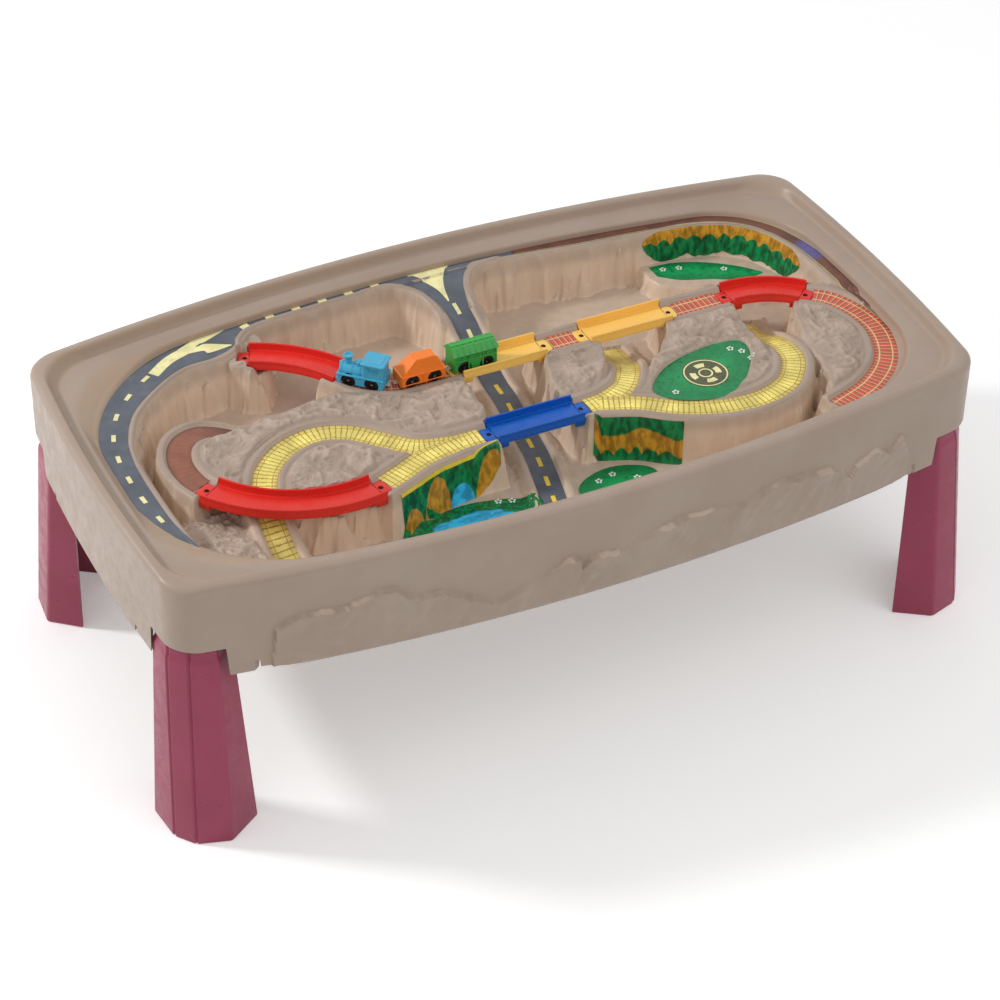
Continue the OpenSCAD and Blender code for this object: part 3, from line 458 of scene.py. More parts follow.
class Solid:
    """Points and faces gathered for one mesh."""

    def __init__(self):
        self.points, self.faces, self.uvs, self.count = [], [], [], 0

    def add(self, points, faces, caps=(), uv=None):
        """Points with their faces, and caps as lists of points."""
        points = np.asarray(points, float).reshape(-1, 3)
        self.points.append(points)
        self.uvs.append(np.zeros((len(points), 2)) if uv is None else np.asarray(uv, float).reshape(-1, 2))
        self.faces += (np.asarray(faces) + self.count).tolist() + [[k + self.count for k in cap] for cap in caps]
        self.count += len(points)

    def rings(self, rings, uv=None):
        """A closed skin over rings of equal length, stacked and capped at both ends."""
        rings = np.asarray(rings, float)
        m, n = rings.shape[:2]
        caps = [list(range(n)), list(range((m - 1) * n, m * n))[::-1]]
        self.add(rings, grid_faces(m, n, False, True), caps, uv)

    def tube(self, rings):
        """A closed skin over rings that also join round from the last to the first."""
        rings = np.asarray(rings, float)
        self.add(rings, grid_faces(rings.shape[0], rings.shape[1], True, True))

    def film(self, points, uv=None, whole=False):
        """A thin plate under a grid of points; a whole one closes on itself from the last column to the first."""
        axis = 0 if whole else 1
        under = points - FILM_THICKNESS * upright(points)
        uv = np.zeros(points.shape[:2] + (2,)) if uv is None else uv
        self.rings(np.concatenate([points, np.flip(under, axis)], axis), np.concatenate([uv, np.flip(uv, axis)], axis))

    def block(self, top, under, uv):
        """A solid between a grid of points and a coarser grid under it with the same rows."""
        (m, n), k = top.shape[:2], under.shape[1]
        upper, lower = np.arange(m * n).reshape(m, n), m * n + np.arange(m * k).reshape(m, k)
        sides = [np.stack([a[:-1], a[1:], b[1:], b[:-1]], -1) for a, b in
                 ((upper[:, 0], lower[:, 0]), (upper[:, -1], lower[:, -1]))]
        faces = np.vstack([grid_faces(m, n), grid_faces(m, k) + m * n, *sides])
        caps = [np.concatenate([upper[i], lower[i, ::-1]]).tolist() for i in (0, -1)]
        points = np.vstack([top.reshape(-1, 3), under.reshape(-1, 3)])
        self.add(points, faces, caps, np.vstack([uv.reshape(-1, 2), np.zeros((m * k, 2))]))


def put(name, solid, finish, body, replaces=(), normals=None, sharp=35.0):
    """Makes a mesh object of a closed solid, in metres with its faces outwards, and lets it ride."""
    mesh = bpy.data.meshes.new(name)
    points = np.vstack(solid.points)
    mesh.from_pydata((points * MM).tolist(), [], solid.faces)
    uv = np.vstack(solid.uvs)
    loops = np.zeros(len(mesh.loops), np.int32)
    mesh.loops.foreach_get("vertex_index", loops)
    layer = mesh.uv_layers.new(name="way")
    layer.data.foreach_set("uv", uv[loops].ravel())
    work = bmesh.new()
    work.from_mesh(mesh)
    bmesh.ops.recalc_face_normals(work, faces=work.faces)
    work.to_mesh(mesh)
    work.free()
    mesh.shade_smooth()
    if normals is not None:
        mesh.normals_split_custom_set_from_vertices(normals.tolist())
    elif sharp:
        mesh.set_sharp_from_angle(angle=np.radians(sharp))
    obj = bpy.data.objects.new(name, mesh)
    bpy.context.scene.collection.objects.link(obj)
    mesh.materials.append(finish)
    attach(obj, body)
    if replaces:
        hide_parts(*replaces)
    return obj


# Materials


class Finish:
    """One material, with short calls that add nodes to it."""

    def __init__(self, name, **values):
        self.material = bpy.data.materials.new(name)
        self.material.use_nodes = True
        self.tree = self.material.node_tree
        self.shader = self.tree.nodes["Principled BSDF"]
        for socket, value in values.items():
            self.shader.inputs[socket.replace("_", " ")].default_value = value

    def node(self, kind, inputs=(), **settings):
        """A new node with its inputs joined or set."""
        made = self.tree.nodes.new("ShaderNode" + kind)
        for key, value in settings.items():
            setattr(made, key, value)
        for key, value in dict(inputs).items():
            self.join(value, made.inputs[key])
        return made

    def join(self, value, socket):
        """Links a socket to another, or sets its value."""
        if isinstance(value, bpy.types.NodeSocket):
            self.tree.links.new(value, socket)
        else:
            socket.default_value = value

    def place(self, kind="Object"):
        """Texture coordinates of that kind."""
        return self.node("TexCoord").outputs[kind]

    def noise(self, scale, detail=2.0, place=None, stretch=None, distortion=0.0):
        """Noise of that scale per metre, which may be stretched along the axes."""
        at = place or self.place()
        if stretch:
            at = self.node("Mapping", {"Vector": at, "Scale": stretch}).outputs[0]
        inputs = {"Vector": at, "Scale": scale, "Detail": detail, "Distortion": distortion}
        return self.node("TexNoise", inputs).outputs[0]

    def maths(self, operation, *values):
        """One step of arithmetic."""
        return self.node("Math", dict(enumerate(values)), operation=operation).outputs[0]

    def span(self, value, a, b, to_a=0.0, to_b=1.0):
        """A value carried smoothly from the range a to b to another range."""
        inputs = {0: value, 1: a, 2: b, 3: to_a, 4: to_b}
        return self.node("MapRange", inputs, interpolation_type="SMOOTHSTEP").outputs[0]

    def mix(self, factor, a, b):
        """A colour between two colours."""
        made = self.node("Mix", data_type="RGBA")
        for value, socket in ((factor, made.inputs[0]), (a, made.inputs[6]), (b, made.inputs[7])):
            self.join(value, socket)
        return made.outputs[2]

    def set(self, socket, value):
        """Sets or links one of the shader's sockets."""
        self.join(value, self.shader.inputs[socket])

    def bump(self, height, strength, distance):
        """Bumps the surface by a height."""
        inputs = {"Height": height, "Strength": strength, "Distance": distance}
        self.set("Normal", self.node("Bump", inputs).outputs[0])


def shade(colour, factor=1.0, warm=0.0):
    """A property colour as a socket value, lighter or darker by a factor and warmer or cooler."""
    r, g, b = colour
    return (min(r * factor * (1 + warm), 1), min(g * factor, 1), min(b * factor * (1 - warm), 1), 1)


def moulded(name, colour, rough=0.4, mottle=0.06, grain=700.0, dent=0.12, deep=None, crag=0.0):
    """Moulded plastic: cloudy colour, fine orange-peel grain and uneven gloss.

    With a colour for deep places, the UV layer gives how far rock stands out, and how deep the place is, from 0 to 1 on
    level ground and up to 2 on a wall. These paint light and shade: painted bounce light and shade towards that colour
    in deep places and on walls, painted highlights on ridges and painted shade in crevices.
    """
    f = Finish(name, IOR=1.49, Specular_IOR_Level=0.4)
    cloud = f.noise(9, 6)
    fine = f.noise(grain, 3)
    base = f.mix(f.span(cloud, 0.3, 0.7), shade(colour, 1 - mottle, 0.02), shade(colour, 1 + mottle * 0.6))
    if deep is not None:
        stone, low, _ = f.node("SeparateXYZ", {0: f.place("UV")}).outputs
        # Painted bounce light and shade: deep places take the deep colour and walls a lighter copy of it, broken by
        # vertical streaks
        streak = f.span(f.noise(70, 4, stretch=(1, 1, 0.2)), 0.35, 0.7, 0.75, 1.0)
        base = f.mix(f.maths("MULTIPLY", f.span(low, 0.0, 1.0), streak), base, shade(deep))
        base = f.mix(f.maths("MULTIPLY", f.span(low, 1.0, 1.8), streak), base, shade(deep, 1.3))
        # Painted shade in the rock's crevices, then a painted highlight on its ridges and peaks
        base = f.mix(f.span(stone, -0.03, -0.3, 0.0, 0.5), base, shade(colour, 0.5, 0.06))
        base = f.mix(f.span(stone, 0.02, 0.36, 0.0, 0.65), base, shade(colour, 1.5))
    f.set("Base Color", f.mix(f.span(f.noise(grain * 0.8, 2), 0.6, 0.75, 0.0, 0.05), base, shade(colour, 0.75)))
    f.set("Roughness", f.span(f.noise(60, 4), 0.3, 0.7, rough - 0.07, rough + 0.1))
    relief = f.maths("ADD", fine, f.maths("MULTIPLY", cloud, 0.6))
    if crag:
        relief = f.maths("ADD", relief, f.maths("MULTIPLY", f.noise(110, 5, distortion=0.6), crag))
    f.bump(relief, dent, 0.0006)
    return f.material


def printed(name, build, rough=0.36, grain=1400.0):
    """A printed film: the colour comes from build(finish, run, side), with fine grain and a slight sheen."""
    f = Finish(name, IOR=1.5, Specular_IOR_Level=0.35)
    parts = f.node("SeparateXYZ", {0: f.place("UV")}).outputs
    colour = build(f, parts[0], parts[1])
    tone = f.noise(45, 4)
    dark = f.node("HueSaturation", {"Color": colour, "Value": f.span(tone, 0.3, 0.7, 0.88, 1.1)}).outputs[0]
    f.set("Base Color", dark)
    f.set("Roughness", f.span(f.noise(120, 3), 0.3, 0.7, rough - 0.06, rough + 0.1))
    f.bump(f.noise(grain, 2), 0.06, 0.0004)
    return f.material


def lines(f, value, pitch, width, wander=0.0):
    """1 on thin lines every pitch along a value, which wander by noise, and 0 between them."""
    if wander:
        value = f.maths("ADD", value, f.maths("MULTIPLY", f.noise(260, 2), wander))
    at = f.maths("FRACT", f.maths("DIVIDE", value, pitch))
    return f.maths("LESS_THAN", at, width / pitch)


def rail_lines(f, side, at, width):
    """1 on a pair of lines at a distance to each side of the middle."""
    return f.maths("LESS_THAN", f.maths("ABSOLUTE", f.maths("SUBTRACT", f.maths("ABSOLUTE", side), at)), width)


def either(f, a, b):
    """The larger of two values."""
    return f.maths("MAXIMUM", a, b)


# Operators


class TABLE_OT_tray(bpy.types.Operator):
    """Rim, wall and skirt of the tray, one section carried round its bowed outline"""

    bl_idname = "table.tray"
    bl_label = "Tray shell"

    def execute(self, context):
        c = context.scene.table_colours
        plastic = moulded("tray_plastic", c.tray, rough=0.38, deep=c.slope)
        around = rim_way()
        inset, depth = shell_section(around)
        x, y = ring(inset[:, None], around)
        tangent = np.gradient(np.stack([x[0], y[0]]), axis=1)
        out = np.stack([tangent[1], -tangent[0]]) / np.hypot(*tangent)
        lift, stone = wall_crags(x, depth, out, inset)
        points = np.stack([x + out[0] * lift, y + out[1] * lift, mm("height") - depth], -1)
        fall, run = np.abs(np.gradient(depth, axis=0)), np.gradient(inset)[:, None] + 1e-6
        steep = np.where(inset[:, None] > 12, fall / np.hypot(fall, run), 0)
        # Painted light and shade: the first value paints highlights and crevice shade on the wall's relief, the second
        # paints shade on the rim's steep inner slopes, more at the left end, which faces away from the key light
        uv = np.stack([stone, smooth(steep, 0.25, 0.65) * (0.5 + 0.45 * smooth(-x, -250, 350))], -1)
        split = int(np.argmin(inset))
        bands = (("tray_rim", slice(0, split + 1), ("tray",)), ("tray_wall", slice(split, None), ()))
        for name, rows, replaced in bands:
            shell = Solid()
            shell.add(points[rows], grid_faces(*points[rows].shape[:2], True, True), uv=uv[rows])
            put(name, shell, plastic, "table", sharp=40, replaces=replaced)
        plate = underside(around[:, ::3])
        under = Solid()
        under.rings(np.vstack([plate[::-1] + (0, 0, 2.5), plate]))
        put("tray_underside", under, plastic, "table", sharp=40)
        return {"FINISHED"}


def rim_way():
    """Points round a rounded rectangle, as the place of the corner's centre (-1 to 1) and the outward direction."""
    signs = [(1, 1), (-1, 1), (-1, -1), (1, -1)]
    near_ears = np.array([-2.2, -0.7, 0.7, 2.2])
    parts = []
    for k, (sx, sy) in enumerate(signs):
        turn = np.radians(90 * k + np.linspace(0, 90, 26, endpoint=False))
        parts.append(np.stack([0 * turn + sx, 0 * turn + sy, np.cos(turn), np.sin(turn)]))
        ears, half, count = ((530, 497, 489), 561, 470) if k % 2 == 0 else ((206, 161, 153), 242, 90)
        extra = np.concatenate([(e + near_ears) / half for e in ears])
        way = np.concatenate([np.linspace(1, -1, count, endpoint=False), extra, -extra])
        way = np.sort(way)[::-1]
        end = signs[(k + 1) % 4]
        across = np.radians(90 * (k + 1))
        cx = (sx + end[0]) / 2 + (sx - end[0]) / 2 * way
        cy = (sy + end[1]) / 2 + (sy - end[1]) / 2 * way
        parts.append(np.stack([cx, cy, 0 * way + np.cos(across), 0 * way + np.sin(across)]))
    return np.hstack(parts)


def ring(inset, around):
    """Plan points of the tray's outline moved in by inset: a rounded rectangle whose sides are bowed outwards."""
    cx, cy, nx, ny = around
    radius = np.interp(inset, [0, 9, 13, 17, 20, 24, 40, 44, 47, 50], [36, 41, 45, 52, 60, 70, 150, 166, 176, 186])
    radius = radius * (1 - 0.36 * smooth(inset, 13, 36) * smooth(cx, -0.6, 1))
    half_x = mm("length") / 2 - mm("end_bow") - inset
    half_y = mm("width") / 2 - mm("side_bow") - inset
    px = cx * (half_x - radius) + radius * nx
    py = cy * (half_y - radius) + radius * ny
    bow_x = 1 + mm("end_bow") / half_x * (1 - (py / half_y) ** 2)
    bow_y = 1 + mm("side_bow") / half_y * (1 - (px / half_x) ** 2)
    return px * bow_x, py * bow_y


def bottom_edge(around):
    """Depth of the wall's bottom edge: cut away over the legs, with ears and small notches beside them."""
    x, y = np.abs(ring(0.0, around))
    wall = mm("wall_depth")
    front = smooth(y, 225, 235)
    end = smooth(x, 560, 566)
    edge = wall - 8 * front * smooth(x, 425, 489) + 0 * x
    ear = front * smooth(x, 496.4, 497.6) + end * smooth(y, 160.4, 161.6)
    edge = edge + ear * (wall - 3 - edge)
    notch = front * smooth(x, 488.4, 489.6) * (1 - smooth(x, 496.4, 497.6))
    notch += end * smooth(y, 152.4, 153.6) * (1 - smooth(y, 160.4, 161.6))
    edge = edge - 11 * np.clip(notch, 0, 1)
    corner = smooth(x, 528, 532) * smooth(y, 204, 208)
    return edge + (POCKET_DEPTH - edge) * corner


def shell_section(around):
    """Insets and depths of the rim's section: from the shelf up over the ledge and rim, down the wall, round and up.

    The ledge's inner edge is gentler at the left end.
    """
    rim = curve([(50, 36), (47.2, 30), (46.4, 26.5), (45.4, 23), (43.6, 20.8), (40, 19.4), (34, 17.3), (27, 15.9),
                 (22.8, 14.9), (20, 10.8), (16.8, 3.6), (14.6, 0.9), (12.4, 0), (8.5, 0.2), (5.0, 1.1), (2.4, 3.1),
                 (0.6, 6.2), (0, 9.5)], 3)
    lower = [(22.8, 0), (27, -0.2), (34, -0.8), (40, 2.6), (43.6, 5.2), (45.4, 4.6), (46.4, 2.6), (47.2, 0)]
    gentle = np.interp(rim[:, 0], *np.array(lower).T)[:, None]
    left = smooth(-around[2], 0.1, 0.8)
    edge = bottom_edge(around)
    down = np.concatenate([np.linspace(0, 0.28, 7)[1:], np.linspace(0.28, 1, 57)[1:]])[:, None]
    wall = 9.5 + (edge - 2 - 9.5) * down
    turn = np.array([(0.5, -0.7), (1.6, 0.0), (5.4, 0.0), (6.5, -0.7), (7, -2.0)])
    top = np.minimum(edge - 4, mm("wall_depth") - 31.5)
    rise = edge - 2 + (top - edge + 2) * np.linspace(0, 1, 6)[1:, None]
    depth = np.vstack([rim[:, 1:] + gentle * left, wall, edge + turn[:, 1:], rise])
    inset = np.concatenate([rim[:, 0], np.zeros(len(down)), turn[:, 0], np.full(5, 7.0)])
    return inset, depth


def wall_crags(x, depth, out, inset):
    """Rock relief on the front and back walls, and a value that paints highlights and shade on it.

    A mountain range in low relief: plates under a ragged skyline, each of which stands out further to its right until a
    crease, with slanted facets that fade downwards, painted highlights along the skyline's peaks and painted light and
    shade on the facets.
    """
    along = np.broadcast_to(-x * np.sign(out[1]), x.shape).ravel()
    at = np.stack([along, depth.ravel()], -1)
    line = np.stack([along, 0 * along], -1)
    skyline = np.interp(along, *np.array(RANGE).T) + 4 * (lattice(line, 9, 22) - 0.5)
    under = at[:, 1] - skyline
    tilt = np.interp(along, *np.array(PLATES).T)
    facet = crags(np.stack([at[:, 0] + 0.6 * at[:, 1], at[:, 1] * 0.6 - 0.2 * at[:, 0]], -1), 30, 24)
    where = ((np.abs(out[1]) > 0.8) * (inset == 0)[:, None] * smooth(mm("wall_depth") - depth, 0, 9)).ravel()
    where = where * smooth(-np.abs(along), -492, -484)
    body = (0.3 + 0.5 * tilt + 0.8 * (facet - 0.5)) * (1 - 0.4 * smooth(under, 6, 60))
    lift = mm("wall_relief") * smooth(under, -1.0, 3.4) * np.maximum(body, 0.05)
    # Painted highlight along the skyline's peaks, in patches
    worn = lip(under - 1.4, 2.4, 0.5) * smooth(lattice(line, 21, 26), 0.4, 0.6)
    # Painted light and shade on the facets, added to the painted peak highlight
    stands = worn + 0.3 * (facet - 0.55) * smooth(under, 1, 4)
    return (lift * where).reshape(x.shape), (where * stands).reshape(x.shape)


def pockets(x, y, grow=0.0):
    """True over the four leg pockets, made larger by grow."""
    ax, ay = np.abs(x), np.abs(y)
    return ((ax - 503 + grow) * 84 + (ay - 256 + grow) * 64 > 0) & (ax > 503 - grow) & (ay > 172 - grow)


def underside(around):
    """The tray's under face: rings shrunk towards the middle, with shallow ribs and the leg pockets let up into it."""
    x, y = ring(6.5, around)
    shrink = np.concatenate([np.linspace(1, 0.7, 60), np.linspace(0.69, 0.004, 50)])[:, None]
    x, y = x * shrink, y * shrink
    ribs = smooth(np.cos(x / 26.0), 0.72, 0.9) + smooth(np.cos(y / 22.0), 0.72, 0.9)
    depth = 122 - 3 * np.clip(ribs, 0, 1) * smooth(-shrink, -0.9, -0.86)
    return np.stack([x, y, mm("height") - np.where(pockets(x, y), POCKET_DEPTH, depth)], -1)


class TABLE_OT_landscape(bpy.types.Operator):
    """Canyons, rock masses, banks, lanes and road inside the tray, as heights over a grid fitted to the ledge"""

    bl_idname = "table.landscape"
    bl_label = "Landscape"

    def execute(self, context):
        c = context.scene.table_colours
        stone = moulded("rock_plastic", c.tray, rough=0.46, mottle=0.1, grain=520, dent=0.25, deep=c.canyon_bounce_light, crag=3.0)
        x, y = ring(LAND_INSET, rim_way())
        upper = y >= 0
        order = np.argsort(x[upper])
        across = np.linspace(-1, 1, LAND_COLUMNS) * (np.max(x) - 0.5)
        reach = np.interp(across, x[upper][order], y[upper][order])
        share = np.linspace(-1, 1, LAND_ROWS)
        grid = np.stack([np.repeat(across[:, None], LAND_ROWS, 1), reach[:, None] * share], -1)
        z, stands, rugged = (part.reshape(LAND_COLUMNS, LAND_ROWS) for part in terrain(grid.reshape(-1, 2)))
        points = hewn(np.dstack([grid, z]))
        normal = upright(points)
        # Painted bounce light and shade: how far each place is tinted towards the canyon colour, growing with depth and
        # steepness and less on rugged rock
        low = smooth(mm("height") - 40 - points[..., 2], 0, 30) + smooth(1 - normal[..., 2], 0.15, 0.7)
        low *= 1 - 0.6 * rugged
        coarse = np.linspace(0, LAND_ROWS - 1, LAND_UNDER_ROWS).astype(int)
        step = (LAND_COLUMNS - 1) // len(LAND_PARTS)
        for k, name in enumerate(LAND_PARTS):
            part = slice(step * k, step * k + step + 1)
            under = points[part][:, coarse].copy()
            under[..., 2] = mm("height") - np.where(pockets(under[..., 0], under[..., 1], 4), 99, 117)
            land = Solid()
            land.block(points[part], under, np.dstack([stands, low])[part])
            down = np.tile((0.0, 0.0, -1.0), ((step + 1) * LAND_UNDER_ROWS, 1))
            normals = np.vstack([normal[part].reshape(-1, 3), down])
            put("landscape_" + name, land, stone, "table", normals=normals)
        return {"FINISHED"}


def hewn(points):
    """Steep rock cut back along its normal: ridged noise on two upright planes, blended by the wall's direction."""
    normal = upright(points)
    x, y, z = points.reshape(-1, 3).T
    facing = normal.reshape(-1, 3) ** 2
    to_x, to_y = facing[:, 0], facing[:, 1]
    side = crags(np.stack([y + 0.4 * z, z], -1), 36, 41) * to_x + crags(np.stack([x - 0.4 * z, z], -1), 36, 44) * to_y
    rock = side / (to_x + to_y + 1e-6)
    cut = 2.8 * np.maximum(0.85 - rock, 0) * smooth(1 - normal[..., 2].ravel(), 0.2, 0.5)
    cut *= smooth(mm("height") - 38 - z, 0, 12)
    cut *= smooth(z - mm("height") + mm("floor_depth"), 1, 9) * (1 - calm(np.stack([x, y], -1)))
    return points - normal * cut.reshape(points.shape[:2] + (1,))


# Printed films


def track_print(f, run, side):
    """Pale yellow track: thin brown lines across at uneven places, two along it, deeper yellow at the edges."""
    c = bpy.context.scene.table_colours
    edge = f.span(f.maths("ABSOLUTE", side), 0.45, 1.0)
    base = f.mix(f.span(f.noise(22, 3), 0.35, 0.65), shade(c.track, 0.86), shade(c.track, 1.12))
    base = f.mix(edge, base, shade(c.track, 0.72, 0.06))
    ties = lines(f, run, 0.74, 0.17, 0.35)
    return f.mix(f.maths("MULTIPLY", either(f, ties, rail_lines(f, side, 0.62, 0.035)), 0.8), base, shade(c.sleeper))


def brick_print(f, run, side):
    """Brick red track: pale lines across, two pale rails and dark gaps between the sleepers."""
    c = bpy.context.scene.table_colours
    dark = f.mix(lines(f, run, 0.8, 0.3), shade(c.brick), shade(c.brick, 0.66))
    pale = either(f, lines(f, run, 0.8, 0.11, 0.1), rail_lines(f, side, 0.56, 0.06))
    return f.mix(f.maths("MULTIPLY", pale, 0.75), dark, shade(c.cream, 0.85, 0.1))


def brown_print(f, run, side):
    """Brown track: plain, with faint sleepers and darker edges, greyer towards its low end."""
    c = bpy.context.scene.table_colours
    base = f.mix(f.maths("MULTIPLY", lines(f, run, 0.9, 0.4, 0.2), 0.25), shade(c.brown), shade(c.brown, 0.7))
    base = f.mix(f.span(f.maths("ABSOLUTE", side), 0.6, 1.0, 0.0, 0.5), base, shade(c.brown, 0.6))
    return f.mix(f.span(run, 16, 26), base, shade(c.road, 0.7))


def strip_print(f, run, side):
    """Dark brown strip with pale edges and a violet stretch."""
    c = bpy.context.scene.table_colours
    base = f.mix(f.span(f.noise(30, 4), 0.35, 0.65), shade(c.brown, 0.42), shade(c.brown, 0.62))
    violet = f.maths("MULTIPLY", f.span(run, 45, 46.5), f.span(run, 51.5, 50))
    base = f.mix(violet, base, shade(linear(92, 84, 140)))
    return f.mix(f.maths("GREATER_THAN", f.maths("ABSOLUTE", side), 0.86), base, shade(c.cream, 0.5, 0.05))


def road_print(f, run, side):
    """Dark grey road with fine pale specks."""
    c = bpy.context.scene.table_colours
    base = f.mix(f.span(f.noise(18, 4), 0.3, 0.7), shade(c.road, 0.86), shade(c.road, 1.1))
    return f.mix(f.span(f.noise(900, 2), 0.6, 0.72, 0.0, 0.4), base, shade(c.road, 1.7))


def cream_print(f, run, side):
    """Cream road paint, a little worn."""
    c = bpy.context.scene.table_colours
    return f.mix(f.span(f.noise(420, 3), 0.58, 0.7, 0.0, 0.45), shade(c.cream), shade(c.road, 1.6))


def yellow_print(f, run, side):
    """Deep yellow road paint, a little worn."""
    c = bpy.context.scene.table_colours
    return f.mix(f.span(f.noise(420, 3), 0.58, 0.7, 0.0, 0.4), shade(linear(240, 206, 66)), shade(c.road, 1.5))


def outward(f, run, side):
    """Share of the way out from a round film's middle."""
    return f.maths("SQRT", f.maths("ADD", f.maths("MULTIPLY", run, run), f.maths("MULTIPLY", side, side)))


def grass_print(f, run, side):
    """Green ground, lighter in the middle, with soft blades of darker green."""
    c = bpy.context.scene.table_colours
    base = f.mix(f.span(outward(f, run, side), 0.1, 0.9), shade(c.grass, 1.3), shade(c.grass, 0.82))
    return f.mix(f.span(f.noise(160, 4), 0.52, 0.66, 0.0, 0.6), base, shade(c.bush, 0.8))


def leaves(f, dark, light):
    """Brushed leaves between two colours."""
    return f.mix(f.span(f.noise(150, 4, stretch=(1, 1, 0.4)), 0.36, 0.64), dark, light)


def scallops(f, run, side, rise):
    """Height above a row of round bushes along the run."""
    wander = f.maths("ADD", f.maths("MULTIPLY", run, 1.3), f.maths("MULTIPLY", f.noise(40, 2), 1.6))
    return f.maths("SUBTRACT", side, f.maths("MULTIPLY", f.maths("ABSOLUTE", f.maths("SINE", wander)), rise))


def bush_print(f, run, side):
    """Dark green bushes over a wavy ochre band over a row of round green bushes."""
    c = bpy.context.scene.table_colours
    green = leaves(f, shade(c.bush, 0.6), shade(c.grass, 0.95))
    ochre = leaves(f, shade(c.ochre, 0.6), shade(c.ochre, 1.2))
    wave = f.maths("ADD", side, f.maths("MULTIPLY", f.maths("SINE", f.maths("MULTIPLY", run, 0.7)), 0.14))
    low = f.mix(f.span(scallops(f, run, side, 0.26), -0.5, -0.42), green, ochre)
    return f.mix(f.span(wave, 0.34, 0.42), low, green)


def hedge_print(f, run, side):
    """Ochre bushes above a row of round green ones."""
    c = bpy.context.scene.table_colours
    green = leaves(f, shade(c.bush, 0.62), shade(c.grass, 1.05))
    ochre = leaves(f, shade(c.ochre, 0.65), shade(c.ochre, 1.3))
    return f.mix(f.span(scallops(f, run, side, 0.36), -0.22, -0.14), green, ochre)


def oval(f, run, side, at, level, wide, high):
    """1 inside an oval round a run and a height on a film, 0 outside it."""
    a = f.maths("POWER", f.maths("DIVIDE", f.maths("SUBTRACT", run, at), wide), 2.0)
    b = f.maths("POWER", f.maths("DIVIDE", f.maths("SUBTRACT", side, level), high), 2.0)
    return f.span(f.maths("ADD", f.maths("ADD", a, b), f.maths("MULTIPLY", f.noise(90, 3), 0.3)), 1.2, 1.1)


def hills_print(f, run, side):
    """Three ochre mounds on green with a small lake at one end, under a yellow edge."""
    c = bpy.context.scene.table_colours
    base = leaves(f, shade(c.bush, 0.62), shade(c.grass, 1.05))
    ochre = leaves(f, shade(c.ochre, 0.7), shade(c.ochre, 1.3))
    for at, level, wide, high in ((-1.4, -0.9, 2.0, 1.1), (7.6, -0.9, 3.0, 1.6), (12.6, -0.9, 1.8, 1.0)):
        base = f.mix(oval(f, run, side, at, level, wide, high), base, ochre)
    lake = f.mix(f.span(f.noise(80, 3), 0.45, 0.6), shade(c.water, 0.9), shade(c.water, 1.5))
    base = f.mix(oval(f, run, side, 2.8, -0.7, 2.0, 0.8), base, lake)
    return f.mix(f.maths("GREATER_THAN", side, 0.8), base, shade(linear(240, 214, 70)))


def pond_print(f, run, side):
    """A pond in the grass: blue with paler ripples inside a dark green bank."""
    c = bpy.context.scene.table_colours
    edge = f.maths("ADD", outward(f, run, side), f.maths("MULTIPLY", f.noise(38, 3), 0.35))
    ripple = f.mix(f.span(f.noise(60, 4, stretch=(1, 3, 1)), 0.45, 0.6), shade(c.water), shade(c.water, 1.5))
    green = f.mix(f.span(f.noise(170, 4), 0.4, 0.62), shade(c.bush, 0.8), shade(c.grass))
    return f.mix(f.span(edge, 0.82, 0.74), green, ripple)


def disc_print(f, run, side):
    """Dark round plate with a cream ring near its edge and four short marks round a small ring."""
    c = bpy.context.scene.table_colours
    dark = f.mix(f.span(f.noise(300, 3), 0.4, 0.65), shade(linear(74, 78, 52)), shade(linear(98, 100, 70)))
    out, turn = outward(f, run, side), f.maths("DIVIDE", f.maths("ARCTAN2", side, run), 2 * np.pi)
    marks = f.maths("MULTIPLY", lines(f, f.maths("ADD", turn, 0.06), 0.25, 0.12), rail_lines(f, out, 0.56, 0.13))
    rings = either(f, rail_lines(f, out, 0.92, 0.03), rail_lines(f, out, 0.28, 0.035))
    return f.mix(either(f, rings, marks), dark, shade(c.cream))


def petal_print(f, run, side):
    """Off-white petals."""
    return f.mix(f.noise(500, 2), shade(linear(226, 232, 220)), shade(linear(250, 250, 244)))


def laid(xy, lift):
    """Points of a film over plan points, lifted off the landscape along its normal."""
    points = np.dstack([xy, terrain(xy.reshape(-1, 2))[0].reshape(xy.shape[:2])])
    return points + lift * upright(points)


def lane_grid(start, stop, across, step=2.0):
    """Runs along a film and places across it from -1 to 1."""
    run = np.linspace(start, stop, max(int((stop - start) / step), 2) + 1)
    return np.meshgrid(run, np.linspace(-1, 1, across), indexing="ij")


def ribbon(path, half, start, stop, lift, across=5):
    """A flat film along a path at the path's own height and of that half width."""
    run, side = lane_grid(start, stop, across)
    points = on_path(path, run, side * half)
    points[..., 2] += lift
    return points, np.stack([run / 10, side], -1)


def between(first, last, along, across):
    """Plan points between two curves that have the same number of points."""
    a, b = curve(first, along), curve(last, along)
    t = np.linspace(0, 1, across)[None, :, None]
    return a[:, None] * (1 - t) + b[:, None] * t


def disc(centre, outline, rings=8):
    """Plan points of an outline shrunk towards its centre; their UV is the same on a round outline of radius 1."""
    out = np.linspace(0.02, 1, rings)[:, None, None]
    return np.asarray(centre) + (outline - centre) * out, circle(1.0, len(outline)) * out


def circle(radius, count=40):
    """Points round a circle at even angles."""
    turn = np.linspace(0, 2 * np.pi, count, endpoint=False)
    return np.stack([radius * np.cos(turn), radius * np.sin(turn)], -1)


